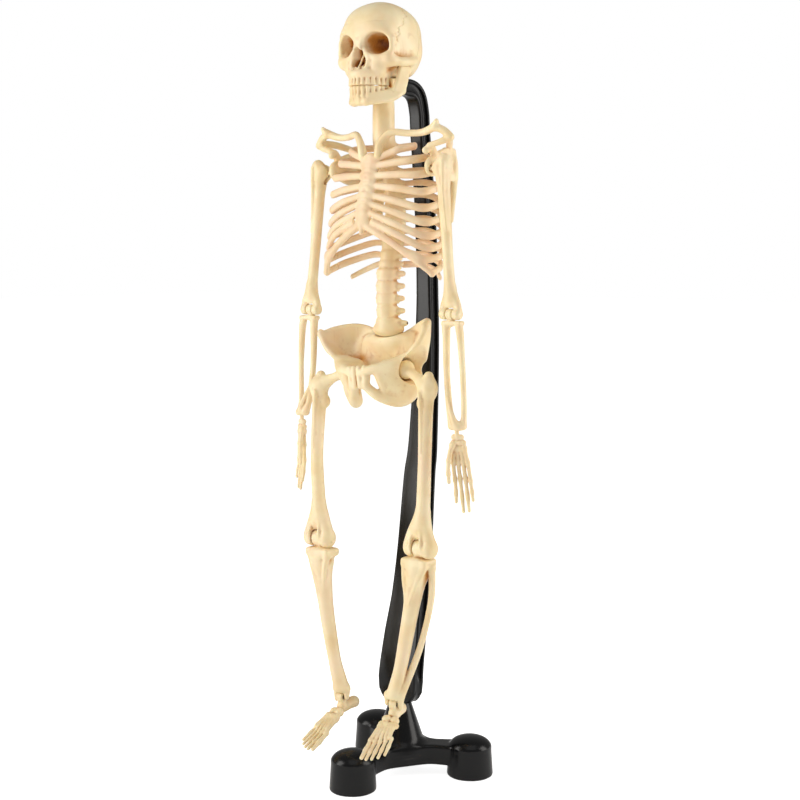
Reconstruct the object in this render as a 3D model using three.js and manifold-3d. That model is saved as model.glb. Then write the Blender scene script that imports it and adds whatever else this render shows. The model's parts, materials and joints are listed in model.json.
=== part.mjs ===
// Desktop human skeleton model hung from a grooved post on a three-footed base.
// Millimetres, +Z up. The skeleton faces -Y and its own left side is +X.
// Inside the model group the hub of the base stands on x = 0, y = 0 with its feet on z = 0.

import * as THREE from "three";
import { mergeVertices } from "three/addons/utils/BufferGeometryUtils.js";
import Module from "manifold-3d";

const wasm = await Module();
wasm.setup();

// ---- driving dimensions ----
const GAP = 0.3; // clearance between touching pieces
const HUB_BACK = 13.5; // the hub stands this far behind the middle of the footprint

const FOOT_CIRCLE = 32.3; // hub to the middle of a stand foot
const FOOT_ANGLES = { front: -90, left: 30, right: 150 };
const FOOT_BASE_RADIUS = 10.5;
const FOOT_RIM_RADIUS = 9.5;
const FOOT_RIM_HEIGHT = 14;
const FOOT_HEIGHT = 18.2;
const FOOT_WALL = 1.8;
const FOOT_ROOM = 13; // height of the hollow inside a foot
const COVER_THICKNESS = 1.5;
const COVER_LEDGE = 1; // width of the step that the cover seats against
const BALLAST_HEIGHT = 8.5;
const ARM_LOW = 5;
const ARM_HIGH = 14.2;
const ARM_HALF_WIDTH = 6.2;
const HUB_RADIUS = 12;
const HUB_TOP_RADIUS = 4.7;
const HUB_TOP = 33;

const POST_DEPTH = 7;
const POST_ARM_HEIGHT = 308.2; // middle of the arm that reaches the neck
const POST_GROOVE = 1.6;

const NECK = { y: -11, radius: 4.85, top: 304 };
const WAIST = new THREE.Vector3(0, -7.5, 201);
const PELVIS_TILT = 4.8; // degrees, left side up, about a point midway between the hips
const HIP = new THREE.Vector3(16.5, -8.5, -16.4); // from the waist, before the tilt
const PELVIS_SHIFT = HIP.z * Math.sin((PELVIS_TILT * Math.PI) / 180);
const HIP_BALL = 4.2;
const KNEE = new THREE.Vector3(13.1, -5.3, -75.6); // from the hip
const ANKLE = new THREE.Vector3(-14.2, -1.2, -71); // from the knee
const FOOT_PITCH = 20;
const FOOT_YAW = { left: 18, right: 0 };
const SHOULDER = new THREE.Vector3(34, -13.3, 271.5);
const ELBOW = new THREE.Vector3(6.3, -1.5, -61); // from the shoulder
const WRIST = new THREE.Vector3(4.8, -1.7, -49.5); // from the elbow
const HAND_TURN = 25;
const RIB_PITCH = 5.1;
const WAIST_PEG = 1.6;
const PEG_ROD = 1; // shoulder pegs and wrist pegs
const HIP_ROD = 1.2;
const SMALL_PIN = 0.8;
const KNEE_PIN = 1.2;

// ---- materials ----
const bone = new THREE.MeshStandardMaterial({ color: 0xe9d3a8, roughness: 0.42, metalness: 0 });
const ribBone = new THREE.MeshStandardMaterial({ color: 0xe8c6a2, roughness: 0.45, metalness: 0 });
const blackGloss = new THREE.MeshStandardMaterial({ color: 0x0b0b0c, roughness: 0.2, metalness: 0 });
const steel = new THREE.MeshStandardMaterial({ color: 0x9a9a98, roughness: 0.35, metalness: 1 });

// ---- solids ----
const vec = (x, y, z) => new THREE.Vector3(x, y, z);
const rad = THREE.MathUtils.degToRad;

function solid(geometry) {
  const bare = geometry.clone();
  bare.deleteAttribute("normal");
  bare.deleteAttribute("uv");
  const merged = mergeVertices(bare, 1e-4);
  const kept = [];
  for (let i = 0; i < merged.index.count; i += 3) {
    const [a, b, c] = [0, 1, 2].map((k) => merged.index.getX(i + k));
    if (a !== b && b !== c && c !== a) kept.push(a, b, c);
  }
  return new wasm.Manifold(
    new wasm.Mesh({
      numProp: 3,
      vertProperties: Float32Array.from(merged.attributes.position.array),
      triVerts: Uint32Array.from(kept),
    }),
  );
}

function join(...pieces) {
  return pieces.reduce((a, b) => a.add(b));
}

function cut(body, ...tools) {
  return tools.reduce((a, b) => a.subtract(b), body);
}

function meshOf(name, body, material) {
  const { vertProperties, triVerts } = body.getMesh();
  const geometry = new THREE.BufferGeometry();
  geometry.setAttribute("position", new THREE.Float32BufferAttribute(vertProperties, 3));
  geometry.setIndex(Array.from(triVerts));
  geometry.computeVertexNormals();
  const mesh = new THREE.Mesh(geometry, material);
  mesh.name = name;
  return mesh;
}

// An ellipsoid with semi-axes s, centred on c.
function ball(c, s, around = 9, down = 6) {
  const geometry = new THREE.SphereGeometry(1, around, down);
  geometry.rotateX(Math.PI / 2);
  geometry.scale(s.x, s.y, s.z);
  geometry.translate(c.x, c.y, c.z);
  return solid(geometry);
}

// A straight tapered rod from a to b, with an elliptic section flat times as deep as it is wide.
function rod(a, b, ra, rb, sides = 8, flat = 1) {
  const along = b.clone().sub(a);
  const geometry = new THREE.CylinderGeometry(rb, ra, along.length(), sides);
  geometry.scale(1, 1, flat);
  geometry.applyQuaternion(
    new THREE.Quaternion().setFromUnitVectors(vec(0, 1, 0), along.clone().normalize()),
  );
  const middle = a.clone().add(b).multiplyScalar(0.5);
  geometry.translate(middle.x, middle.y, middle.z);
  return solid(geometry);
}

// A curved bar along a smooth curve: a thin thread is extruded along it, then each of its rings
// swells to the radius there, which runs evenly through the list of radii.
function bar(points, radii, steps = 9, sides = 5) {
  const thread = 0.01;
  const section = new THREE.Shape(
    Array.from({ length: sides }, (_, i) => {
      const t = (2 * Math.PI * (i + 0.5)) / sides;
      return new THREE.Vector2(thread * Math.cos(t), thread * Math.sin(t));
    }),
  );
  const extrudePath = new THREE.CatmullRomCurve3(points, false, "centripetal");
  const geometry = new THREE.ExtrudeGeometry(section, { steps, extrudePath, bevelEnabled: false });
  const centres = extrudePath.getSpacedPoints(steps);
  const list = [radii].flat();
  const vertex = new THREE.Vector3();
  const position = geometry.attributes.position;
  for (let i = 0; i < position.count; i += 1) {
    vertex.fromBufferAttribute(position, i);
    const near = centres.map((c) => c.distanceTo(vertex));
    const ring = near.indexOf(Math.min(...near));
    const along = (ring / steps) * (list.length - 1);
    const low = Math.min(Math.floor(along), Math.max(list.length - 2, 0));
    const radius = list.length === 1 ? list[0] : THREE.MathUtils.lerp(list[low], list[low + 1], along - low);
    vertex.sub(centres[ring]).multiplyScalar(radius / thread).add(centres[ring]);
    position.setXYZ(i, vertex.x, vertex.y, vertex.z);
  }
  return solid(geometry);
}

// A box from its low to its high corner, turned by yaw degrees about Z through its middle.
function block(low, high, yaw = 0) {
  const size = high.clone().sub(low);
  const geometry = new THREE.BoxGeometry(size.x, size.y, size.z);
  geometry.rotateZ(rad(yaw));
  geometry.translate((low.x + high.x) / 2, (low.y + high.y) / 2, (low.z + high.z) / 2);
  return solid(geometry);
}

// A solid of revolution about +Z through (x, y), from [radius, z] pairs.
function lathe(profile, x = 0, y = 0, sides = 32) {
  const geometry = new THREE.LatheGeometry(
    profile.map(([r, z]) => new THREE.Vector2(r, z)),
    sides,
  );
  geometry.rotateX(Math.PI / 2);
  geometry.translate(x, y, 0);
  return solid(geometry);
}

// A hinge drum: a round barrel at c, across X turned by yaw degrees about Z.
function drum(c, radius, halfWidth, sides = 10, yaw = 0) {
  const half = vec(halfWidth * Math.cos(rad(yaw)), halfWidth * Math.sin(rad(yaw)), 0);
  return rod(c.clone().sub(half), c.clone().add(half), radius, radius, sides);
}

// ---- stand ----
function footCentre(where) {
  const angle = rad(FOOT_ANGLES[where]);
  return vec(FOOT_CIRCLE * Math.cos(angle), FOOT_CIRCLE * Math.sin(angle), 0);
}

function standFoot(c) {
  const dome = [1 / 3, 2 / 3, 1].map((t) => {
    const turn = (t * Math.PI) / 2;
    const rise = (FOOT_HEIGHT - FOOT_RIM_HEIGHT) * Math.sin(turn);
    return [FOOT_RIM_RADIUS * Math.cos(turn), FOOT_RIM_HEIGHT + rise];
  });
  dome[2][0] = 0;
  return lathe([[0, 0], [FOOT_BASE_RADIUS, 0], [FOOT_RIM_RADIUS, FOOT_RIM_HEIGHT], ...dome], c.x, c.y, 22);
}

// An arm of the base, which narrows to a waist between the hub and the foot at c.
function standArm(c) {
  const across = vec(-c.y, c.x, 0).normalize();
  const halfWidths = [[0, HUB_RADIUS * 0.95], [0.45, ARM_HALF_WIDTH * 0.95], [0.9, ARM_HALF_WIDTH * 1.25]];
  const edge = (sign) =>
    halfWidths.map(([along, half]) => c.clone().multiplyScalar(along).addScaledVector(across, sign * half));
  const outline = [...edge(1), ...edge(-1).reverse()];
  const shape = new THREE.Shape(outline.map((p) => new THREE.Vector2(p.x, p.y)));
  const geometry = new THREE.ExtrudeGeometry(shape, { depth: ARM_HIGH - ARM_LOW, bevelEnabled: false });
  geometry.translate(0, 0, ARM_LOW);
  return solid(geometry);
}

function standBase() {
  const cone = [[HUB_RADIUS, ARM_LOW], [HUB_RADIUS, ARM_HIGH - 4], [HUB_TOP_RADIUS, HUB_TOP]];
  const hub = lathe([[0, ARM_LOW], ...cone, [0, HUB_TOP]], 0, 0, 20);
  const centres = Object.keys(FOOT_ANGLES).map(footCentre);
  let body = join(hub, ...centres.map(standArm), ...centres.map(standFoot));
  for (const c of centres) {
    const outer = FOOT_BASE_RADIUS - FOOT_WALL;
    const seat = COVER_THICKNESS + GAP + 0.1;
    const inner = outer - COVER_LEDGE;
    const room = [[0, -1], [outer, -1], [outer, seat], [inner, seat], [inner, FOOT_ROOM], [0, FOOT_ROOM]];
    body = cut(body, lathe(room, c.x, c.y, 16));
  }
  const screwRoom = lathe([[0, 3], [3.4, 3], [3.4, 9], [1.6, 9], [1.6, 40], [0, 40]], 0, 0, 10);
  return cut(body, screwRoom);
}

function footCover(c) {
  const r = FOOT_BASE_RADIUS - FOOT_WALL - GAP;
  return lathe([[0, 0], [r, 0], [r, COVER_THICKNESS], [0, COVER_THICKNESS]], c.x, c.y, 16);
}

function footBallast(c) {
  const r = FOOT_BASE_RADIUS - FOOT_WALL - COVER_LEDGE - GAP;
  const low = COVER_THICKNESS + 2 * GAP;
  return lathe([[0, low], [r, low], [r, low + BALLAST_HEIGHT], [0, low + BALLAST_HEIGHT]], c.x, c.y, 14);
}

function postScrew() {
  return lathe([[0, 6.2], [3, 6.2], [3, 8.7], [1.25, 8.7], [1.25, 46], [0, 48]], 0, 0, 8);
}

// The post seen from the side: (y, z) down its middle, from the foot to the tip of the arm.
const POST_SIDE = [
  [0.3, 33.3], [0.8, 46], [3.8, 63], [7.2, 80], [10.4, 101], [13.8, 134], [16.4, 151],
  [19.3, 200], [18.6, 240], [15.6, 275], [13.9, 291],
];
const POST_BEND = [[13.3, 298], [11, 305], [6, POST_ARM_HEIGHT]];
const POST_TIP = -2.6;
const SOLID_TIP = 3; // the arm's end is plain, without grooves, from here to its tip
const POST_SCREW_HOLE = 1.6;

function ribbon(half) {
  const line = [...POST_SIDE, ...POST_BEND].map(([y, z]) => new THREE.Vector2(y, z));
  line.push(new THREE.Vector2(POST_TIP, POST_ARM_HEIGHT));
  const curve = new THREE.SplineCurve(line);
  const count = 26;
  const [one, other] = [[], []];
  for (let i = 0; i <= count; i += 1) {
    const p = curve.getPoint(i / count);
    const t = curve.getTangent(i / count);
    one.push(new THREE.Vector2(p.x - t.y * half, p.y + t.x * half));
    other.unshift(new THREE.Vector2(p.x + t.y * half, p.y - t.x * half));
  }
  const shape = new THREE.Shape([...one, ...other]);
  const geometry = new THREE.ExtrudeGeometry(shape, { depth: 40, bevelEnabled: false });
  // the outline is drawn in (y, z): turn it so that the depth runs along X
  geometry.applyMatrix4(new THREE.Matrix4().makeBasis(vec(0, 1, 0), vec(0, 0, 1), vec(1, 0, 0)));
  geometry.translate(-20, 0, 0);
  return solid(geometry);
}

// The post seen from the front: half widths [x, z], wide and round at the foot.
const POST_FRONT = [
  [4, 32], [8, 33.6], [10.3, 37.5], [10.8, 43], [9.9, 63], [8.5, 80], [6.9, 134], [6.1, 151],
  [4, 217], [3.3, 290], [3.3, 320],
];

function postFront(inset) {
  const right = POST_FRONT.map(([x, z]) => new THREE.Vector2(x - inset, z));
  const left = [...POST_FRONT].reverse().map(([x, z]) => new THREE.Vector2(inset - x, z));
  const shape = new THREE.Shape([...right, ...left]);
  const geometry = new THREE.ExtrudeGeometry(shape, { depth: 80, bevelEnabled: false });
  geometry.rotateX(Math.PI / 2);
  geometry.translate(0, 40, 0);
  return solid(geometry);
}

function standPost() {
  const blade = ribbon(POST_DEPTH / 2).intersect(postFront(0));
  const floor = block(vec(-20, -20, 20), vec(20, 40, HUB_TOP + GAP));
  const plainTip = block(vec(-20, -9, 300), vec(20, SOLID_TIP, 320));
  const groove = cut(ribbon(POST_DEPTH / 2 - POST_GROOVE), postFront(POST_GROOVE), plainTip);
  const screwHole = lathe([[0, 30], [POST_SCREW_HOLE, 30], [POST_SCREW_HOLE, 50], [0, 50]], 0, 0, 8);
  return cut(blade, groove, floor, screwHole);
}

// ---- trunk ----
const THORAX_TOP = 281;
const SPINE_RADIUS = 3.6;
const SPINE_LINE = [
  vec(0, -11, 296), vec(0, -10.6, 286), vec(0, -7.4, 274), vec(0, -4.6, 262), vec(0, -4.6, 250),
  vec(0, -6.6, 238), vec(0, -8.6, 226), vec(0, -9, 214), vec(0, -7.6, 203.6),
];

function spine() {
  const curve = new THREE.CatmullRomCurve3(SPINE_LINE);
  const neck = rod(vec(0, NECK.y, 282), vec(0, NECK.y, NECK.top), NECK.radius, NECK.radius - 0.3, 12);
  const peg = rod(vec(0, NECK.y, NECK.top - 1), vec(0, NECK.y, 316), SKULL_TOP_PEG, SKULL_TOP_PEG, 8);
  const clip = block(vec(-3.3, -9, 304.9), vec(3.3, POST_TIP - GAP, 311.3)); // meets the post's arm
  const column = bar(SPINE_LINE.slice(1), SPINE_RADIUS, 12, 8);
  const waistPeg = rod(vec(WAIST.x, WAIST.y, 206), vec(WAIST.x, WAIST.y, 196.6), WAIST_PEG, WAIST_PEG, 8);
  const processes = [];
  for (let i = 0; i < 5; i += 1) {
    const p = curve.getPoint(0.66 + 0.068 * i);
    processes.push(rod(vec(0, p.y, p.z - 1.9), vec(0, p.y, p.z + 1.9), 4.5, 4.5, 8));
    for (const side of [1, -1]) {
      processes.push(rod(p, vec(p.x + side * 7.4, p.y + 2, p.z + 0.6), 1.2, 0.7, 4));
    }
    processes.push(rod(p, vec(0, p.y + 8, p.z - 1.5), 1.3, 0.9, 4));
  }
  return join(neck, peg, clip, column, waistPeg, ...processes);
}

// For each rib from the top: how wide it reaches, how far forward, and where (x, z) it ends in front.
const RIB_WIDE = [14.6, 20.6, 24, 26, 27.4, 28.6, 29.6, 30.4, 30.8, 30.8];
const RIB_FRONT = [-18.6, -20, -21.2, -22.2, -23, -23.6, -23.6, -22.4, -20, -17.5];
const RIB_ENDS = [
  [2.6, 276.2], [2.6, 271.9], [2.6, 267.2], [2.8, 262.7], [3, 258.4],
  [3.8, 253.6], [6, 249], [12, 242.6], [19, 235.6], [26, 229.6],
];

// One rib: from the side of the spine round to its front end, as points for the +X side.
function ribPoints(i) {
  const z = THORAX_TOP - i * RIB_PITCH;
  const back = curveY(z);
  const wide = RIB_WIDE[i];
  const front = RIB_FRONT[i];
  const [endX, endZ] = RIB_ENDS[i];
  return [
    vec(5.4, back + 3, z),
    vec(2 + wide * 0.42, back + 5.2, z + 0.4),
    vec(wide * 0.82, back + 3, z - 1.6),
    vec(wide, -10, z - 4.6),
    vec(wide * 0.86, front + 5, z - 7.6 - i * 0.5),
    vec((wide * 0.62 + endX) / 2, front + 0.6, (z - 9 - i + endZ) / 2),
    vec(endX * 0.9, front - 0.6, endZ),
  ];
}

function curveY(z) {
  const line = SPINE_LINE;
  for (let i = 0; i + 1 < line.length; i += 1) {
    if (z <= line[i].z && z >= line[i + 1].z) {
      return THREE.MathUtils.lerp(line[i].y, line[i + 1].y, (line[i].z - z) / (line[i].z - line[i + 1].z));
    }
  }
  return line[0].y;
}

function mirrored(points, side) {
  return points.map((p) => vec(p.x * side, p.y, p.z));
}

const RIB_SPLIT_Y = -9; // the cage is moulded in a front and a back half
const STERNUM = [vec(0, -18, 277.6), vec(0, -20.6, 266), vec(0, -23.2, 256), vec(0, -25, 247)];

function ribs() {
  const all = [];
  for (let i = 0; i < 10; i += 1) {
    for (const side of [1, -1]) all.push(bar(mirrored(ribPoints(i), side), 1.6, 7, 4));
  }
  return join(...all);
}

// The margin that ties the ends of the lower ribs to the breastbone.
function costalArch(side) {
  const line = [
    vec(0.5, -24.8, 247.6), vec(6, -24.4, 245), vec(13, -23, 240), vec(21, -20, 233.4), vec(28.6, -16, 227.4),
  ];
  return bar(mirrored(line, side), 1.6, 4, 4);
}

function ribCageFront(allRibs) {
  const sternum = join(
    rod(STERNUM[0], STERNUM[1], 4.6, 3.2, 8, 0.5),
    rod(STERNUM[1], STERNUM[2], 3.2, 3.6, 8, 0.5),
    rod(STERNUM[2], STERNUM[3], 3.6, 2, 8, 0.6),
  );
  const arches = [1, -1].map(costalArch);
  const behind = block(vec(-40, RIB_SPLIT_Y - GAP / 2, 200), vec(40, 30, 300));
  return join(cut(allRibs, behind), sternum, ...arches);
}

function ribCageBack(allRibs, spineSolid) {
  const ahead = block(vec(-40, -60, 200), vec(40, RIB_SPLIT_Y + GAP / 2, 300));
  const levels = Array.from({ length: 10 }, (_, i) => THORAX_TOP - i * RIB_PITCH);
  const strap = [1, -1].map((side) =>
    bar(levels.map((z) => vec(side * 6.2, curveY(z) + 3.4, z)), 1.8, 6, 4),
  );
  const bridge = levels.filter((_, i) => i % 3 === 0).map((z) => {
    const y = curveY(z);
    return bar([vec(-6.2, y + 3.4, z), vec(0, y + 5.6, z), vec(6.2, y + 3.4, z)], 1.4, 2, 4);
  });
  const body = join(cut(allRibs, ahead), ...strap, ...bridge);
  return cut(body, spineRoom(), spineSolid);
}

// The room that the spine takes up inside the back of the cage, with clearance.
function spineRoom() {
  const neckRoom = NECK.radius + GAP;
  return join(
    bar(SPINE_LINE.slice(1), SPINE_RADIUS + GAP, 12, 8),
    rod(vec(0, NECK.y, 282 - GAP), vec(0, NECK.y, 300), neckRoom, neckRoom, 12),
  );
}

// Collar bone and shoulder blade in one moulding.
function shoulderGirdle(side) {
  const collarLine = [
    vec(4.6, -19.6, 281.5), vec(8, -17.6, 286.2), vec(14, -15.6, 287.4), vec(22, -13.6, 287),
    vec(30, -13.8, 288.4),
  ];
  const crestLine = [vec(35.6, -11.4, 284.8), vec(32, -6, 284), vec(26, 1.5, 281), vec(18.5, 7.6, 277)];
  const collar = bar(mirrored(collarLine, side), 1.5, 6, 5);
  const tip = rod(vec(side * 29, -13.8, 288), vec(side * 32.4, -15, 291), 1.7, 1.2, 5);
  const acromionLine = [vec(30, -13.4, 288.2), vec(34.5, -12.4, 286.4), vec(37.6, -11.8, 283.6)];
  const acromion = bar(mirrored(acromionLine, side), 1.6, 3, 5);
  const spineBar = bar(mirrored(crestLine, side), 1.4, 5, 5);
  const outline = [vec(29, 2.4, 273), vec(20.5, 10.6, 250), vec(17.4, 9.6, 281), vec(27, 3.4, 279)];
  const blade = plate(mirrored(outline, side), 1.2);
  const socket = join(
    rod(vec(side * 26.6, 5, 275), vec(side * 28.6, -8, 273.4), 1.8, 2.2, 6),
    ball(vec(side * 28.4, -11.6, 272.4), vec(1.5, 4, 4.4), 10, 6),
  );
  const hub = vec(side * SHOULDER.x, SHOULDER.y, SHOULDER.z);
  const bore = rod(hub, vec(side * 26, hub.y, hub.z), PEG_ROD + 2 * GAP, PEG_ROD + 2 * GAP, 8);
  return cut(join(collar, tip, acromion, spineBar, blade, socket), bore);
}

// A thin flat plate on the outline's own plane.
function plate(outline, half) {
  const [a, b, c] = outline;
  const normal = b.clone().sub(a).cross(c.clone().sub(a)).normalize();
  const u = b.clone().sub(a).normalize();
  const v = normal.clone().cross(u);
  const shape = new THREE.Shape(
    outline.map((p) => {
      const d = p.clone().sub(a);
      return new THREE.Vector2(d.dot(u), d.dot(v));
    }),
  );
  const geometry = new THREE.ExtrudeGeometry(shape, { depth: 2 * half, bevelEnabled: false });
  geometry.translate(0, 0, -half);
  geometry.applyMatrix4(new THREE.Matrix4().makeBasis(u, v, normal));
  geometry.translate(a.x, a.y, a.z);
  return solid(geometry);
}

// ---- head ----
const CRANIUM = vec(0, -10.4, 324.6);
const CRANIUM_SIZE = vec(15.4, 17, 17);
const SKULL_WALL = 1.8;
const SKULL_TOP_PEG = 2.4; // the peg on the neck that the head turns on
const SKULL_SPLIT_Y = -5;

function skull() {
  const inner = CRANIUM_SIZE.clone().subScalar(SKULL_WALL);
  const pieces = [
    ball(CRANIUM, CRANIUM_SIZE, 16, 10),
    ball(vec(0, -17, 329.6), vec(14, 10, 9.8), 12, 7),
    ball(vec(0, -19, 314.5), vec(9.6, 9, 8), 10, 6),
    rod(vec(0, -21.6, 306.9), vec(0, -21.2, 312), 7.4, 7.4, 12, 1.2),
  ];
  for (const side of [1, -1]) {
    pieces.push(ball(vec(side * 10.4, -19.4, 319), vec(4.4, 5, 7), 8, 6));
    const cheekArch = [vec(11.6, -19, 316.4), vec(15, -14, 316.6), vec(14.8, -7, 318)];
    pieces.push(bar(mirrored(cheekArch, side), 1.3, 4, 4));
    pieces.push(ball(vec(side * 11.4, -3.4, 312.6), vec(2.4, 2.6, 4), 6, 4));
  }
  const tools = [ball(CRANIUM, inner, 12, 8)];
  for (const side of [1, -1]) {
    tools.push(ball(vec(side * 7.4, -26, 324.2), vec(4.7, 7, 4.5), 8, 5));
  }
  tools.push(rod(vec(0, -34, 316), vec(0, -24, 316), 2.6, 2.4, 8));
  tools.push(rod(vec(0, NECK.y, 300), vec(0, NECK.y, 317), SKULL_TOP_PEG + GAP, SKULL_TOP_PEG + GAP, 8));
  tools.push(rod(vec(0, NECK.y, 300), vec(0, NECK.y, 312), 8.8, 8.8, 16));
  const swing = rod(vec(0, NECK.y, 296), vec(0, NECK.y, 312), 16, 16, 20);
  const ahead = block(vec(-20, -60, 290), vec(20, NECK.y, 320));
  tools.push(cut(swing, ahead)); // the head turns clear of the post's arm
  return cut(join(...pieces), ...tools);
}

function skullHalf(whole, front) {
  const big = 60;
  const tool = front
    ? block(vec(-big, SKULL_SPLIT_Y, 280), vec(big, big, 360))
    : block(vec(-big, -big, 280), vec(big, SKULL_SPLIT_Y + GAP, 360));
  return cut(whole, tool);
}

function mandible() {
  const jaw = [vec(13, -11.6, 304.4), vec(11, -19, 302.6), vec(7.4, -26, 301.4), vec(0, -29, 300.8)];
  const pieces = [];
  for (const side of [1, -1]) {
    pieces.push(bar(mirrored(jaw, side), [2.1, 2.2, 2.4, 2.6], 5, 6));
    const ramus = [jaw[0], vec(13.2, -9.8, 310), vec(13.2, -9.4, 313)];
    pieces.push(bar(mirrored(ramus, side), [2.6, 1.8, 1.4], 2, 6));
  }
  const teeth = cut(
    rod(vec(0, -21.2, 301.5), vec(0, -21.2, 306.3), 7.4, 7, 12, 1.2),
    rod(vec(0, -19.6, 300), vec(0, -19.6, 308), 5.4, 5.4, 12, 1.25),
    block(vec(-12, -19.2, 299), vec(12, -8, 309)),
  );
  return join(...pieces, teeth);
}

// ---- arms ----
function upperArm(side) {
  const e = vec(side * ELBOW.x, ELBOW.y, ELBOW.z);
  const slot = block(vec(e.x - 1.9, e.y - 6, e.z - 6), vec(e.x + 1.9, e.y + 6, e.z + 4.4));
  const hole = drum(e, SMALL_PIN + GAP, 8, 6);
  const line = [vec(0.5, 0, 0), vec(1.3, -0.3, -11), vec(4, -1, -38), vec(6, -1.4, -55), ELBOW];
  const shaft = bar(mirrored(line, side), [3.6, 2.7, 2.2, 2.6, 3.1], 6, 7);
  const head = ball(vec(0, 0, 0), vec(4.2, 4.2, 4.4), 9, 6);
  return cut(join(shaft, head, drum(e, 3.3, 5)), slot, hole, shoulderRoom(side));
}

// The shoulder peg stands in the socket of the blade and carries the arm's ball on a fork.
function shoulderRoom(side) {
  const inner = side * -6;
  return join(
    block(vec(Math.min(inner, 0) - 0.01, -1.3, -5), vec(Math.max(inner, 0) + 0.01, 1.3, 5)),
    rod(vec(0, -1.3, 0), vec(0, 1.3, 0), 3.3, 3.3, 10),
  );
}

function shoulderPeg(side) {
  return join(
    rod(vec(0, -1, 0), vec(0, 1, 0), 2.8, 2.8, 10),
    rod(vec(0, 0, 0), vec(side * -7.4, 0, 0), PEG_ROD, PEG_ROD, 6),
  );
}

function forearm(side) {
  const w = vec(side * WRIST.x, WRIST.y, WRIST.z);
  const tongue = drum(vec(0, 0, 0), 3.2, 1.6);
  const collar = rod(vec(0, 0, -3), vec(0, 0, -7.5), 1.4, 2.7, 6);
  const ulnaLine = [
    vec(-1.6, 0.4, -6), vec(-0.6, 0.9, -22), vec(1.4, 0.4, -36), vec(WRIST.x - 1.6, WRIST.y, WRIST.z + 5),
  ];
  const radiusLine = [
    vec(1.8, -0.6, -6), vec(5.2, -1.4, -22), vec(5.8, -1.8, -36), vec(WRIST.x + 1.4, WRIST.y, WRIST.z + 5),
  ];
  const ulna = bar(mirrored(ulnaLine, side), [2, 1.5, 1.3, 1.5], 5, 5);
  const radius = bar(mirrored(radiusLine, side), [1.7, 1.5, 1.5, 1.8], 5, 5);
  const end = rod(vec(w.x, w.y, w.z + 6.6), vec(w.x, w.y, w.z + 1), 3.2, 2.8, 7, 0.8);
  const bore = rod(vec(w.x, w.y, w.z - 1), vec(w.x, w.y, w.z + 4), PEG_ROD + GAP, PEG_ROD + GAP, 6);
  return cut(join(tongue, collar, ulna, radius, end), bore, drum(vec(0, 0, 0), SMALL_PIN + GAP, 4, 6));
}

function hand(side) {
  const peg = rod(vec(0, 0, 0), vec(0, 0, 3.4), PEG_ROD, PEG_ROD, 6);
  const palm = join(
    ball(vec(0, 0, -3), vec(3.4, 2, 3.6), 7, 4),
    ball(vec(0, 0, -10), vec(4.4, 1.7, 7), 7, 5),
  );
  const tips = [[-3.1, -5.2, -30], [-1.1, -1.8, -34], [1.1, 1.4, -33], [3.1, 4.4, -27.5]];
  const fingers = tips.map(([x, tipX, tipZ]) => {
    const line = [vec(x, 0, -12), vec((x + tipX) * 0.55, -0.4, -22), vec(tipX, -1.6, tipZ)];
    return bar(mirrored(line, side), [1.1, 1, 0.7], 2, 4);
  });
  const thumbLine = [vec(-2, -0.6, -4), vec(-5, -2.6, -12), vec(-6, -3.6, -18)];
  const thumb = bar(mirrored(thumbLine, side), [1.4, 1.2, 0.8], 2, 4);
  return join(peg, palm, ...fingers, thumb);
}

// ---- pelvis and legs ----
function pelvis() {
  const pieces = [
    rod(vec(0, 1.8, -4.4), vec(0, 8, -26), 7.6, 2.4, 8, 0.55),
    rod(vec(0, 0, -2.4), vec(0, 0.8, -8), 5, 6, 8),
  ];
  for (const side of [1, -1]) {
    const m = (...points) => mirrored(points, side);
    const crest = m(vec(5, 3, -4), vec(14, 3.4, 1), vec(23, -2, 4), vec(30, -9, 3), vec(30.6, -12, -1));
    const backWing = m(vec(6, 3, -4), vec(15, 3.6, 1.4), vec(24, -3, 3), vec(16, -4.4, -12), vec(8, 1, -12));
    const frontWing = m(vec(24, -3, 3), vec(30.4, -11.6, 0), vec(24, -11, -9), vec(16, -6, -13));
    pieces.push(bar(crest, 2, 5, 5), plate(backWing, 1.1), plate(frontWing, 1.2));
    pieces.push(ball(vec(side * 19.2, -8, -15.4), vec(4.6, 6, 6), 8, 6));
    pieces.push(bar(m(vec(17.6, -12, -14), vec(9, -19.4, -15), vec(1, -21.4, -17.6)), [2.2, 1.9, 2.6], 3, 5));
    const sitBone = m(vec(1.6, -21.4, -20), vec(7, -17, -28), vec(12.4, -7, -30), vec(17, -5, -20));
    pieces.push(bar(sitBone, [2.3, 2, 3, 2.6], 5, 5));
  }
  pieces.push(ball(vec(0, -21.2, -19.4), vec(2.6, 2.4, 5), 7, 5));
  let body = join(...pieces);
  for (const side of [1, -1]) {
    const c = vec(side * HIP.x, HIP.y, HIP.z);
    const cup = HIP_BALL + 0.5;
    body = cut(body, ball(vec(c.x + side * 0.4, c.y, c.z), vec(cup, cup, cup), 10, 7));
    body = cut(body, rod(c, vec(c.x - side * 8, c.y, c.z), HIP_ROD + GAP, HIP_ROD + GAP, 8));
    body = cut(body, rod(c, vec(c.x + side * 14, c.y - 1, c.z), HIP_BALL + 0.6, 12, 10));
  }
  const waistBore = WAIST_PEG + 3 * GAP;
  return cut(body, rod(vec(-PELVIS_SHIFT, 0, 2), vec(-PELVIS_SHIFT, 0, -6), waistBore, waistBore, 8));
}

function hipPeg(side) {
  return join(
    rod(vec(0, -1, 0), vec(0, 1, 0), 3, 3, 12),
    rod(vec(0, 0, 0), vec(side * -6.6, 0, 0), HIP_ROD, HIP_ROD, 8),
  );
}

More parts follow.
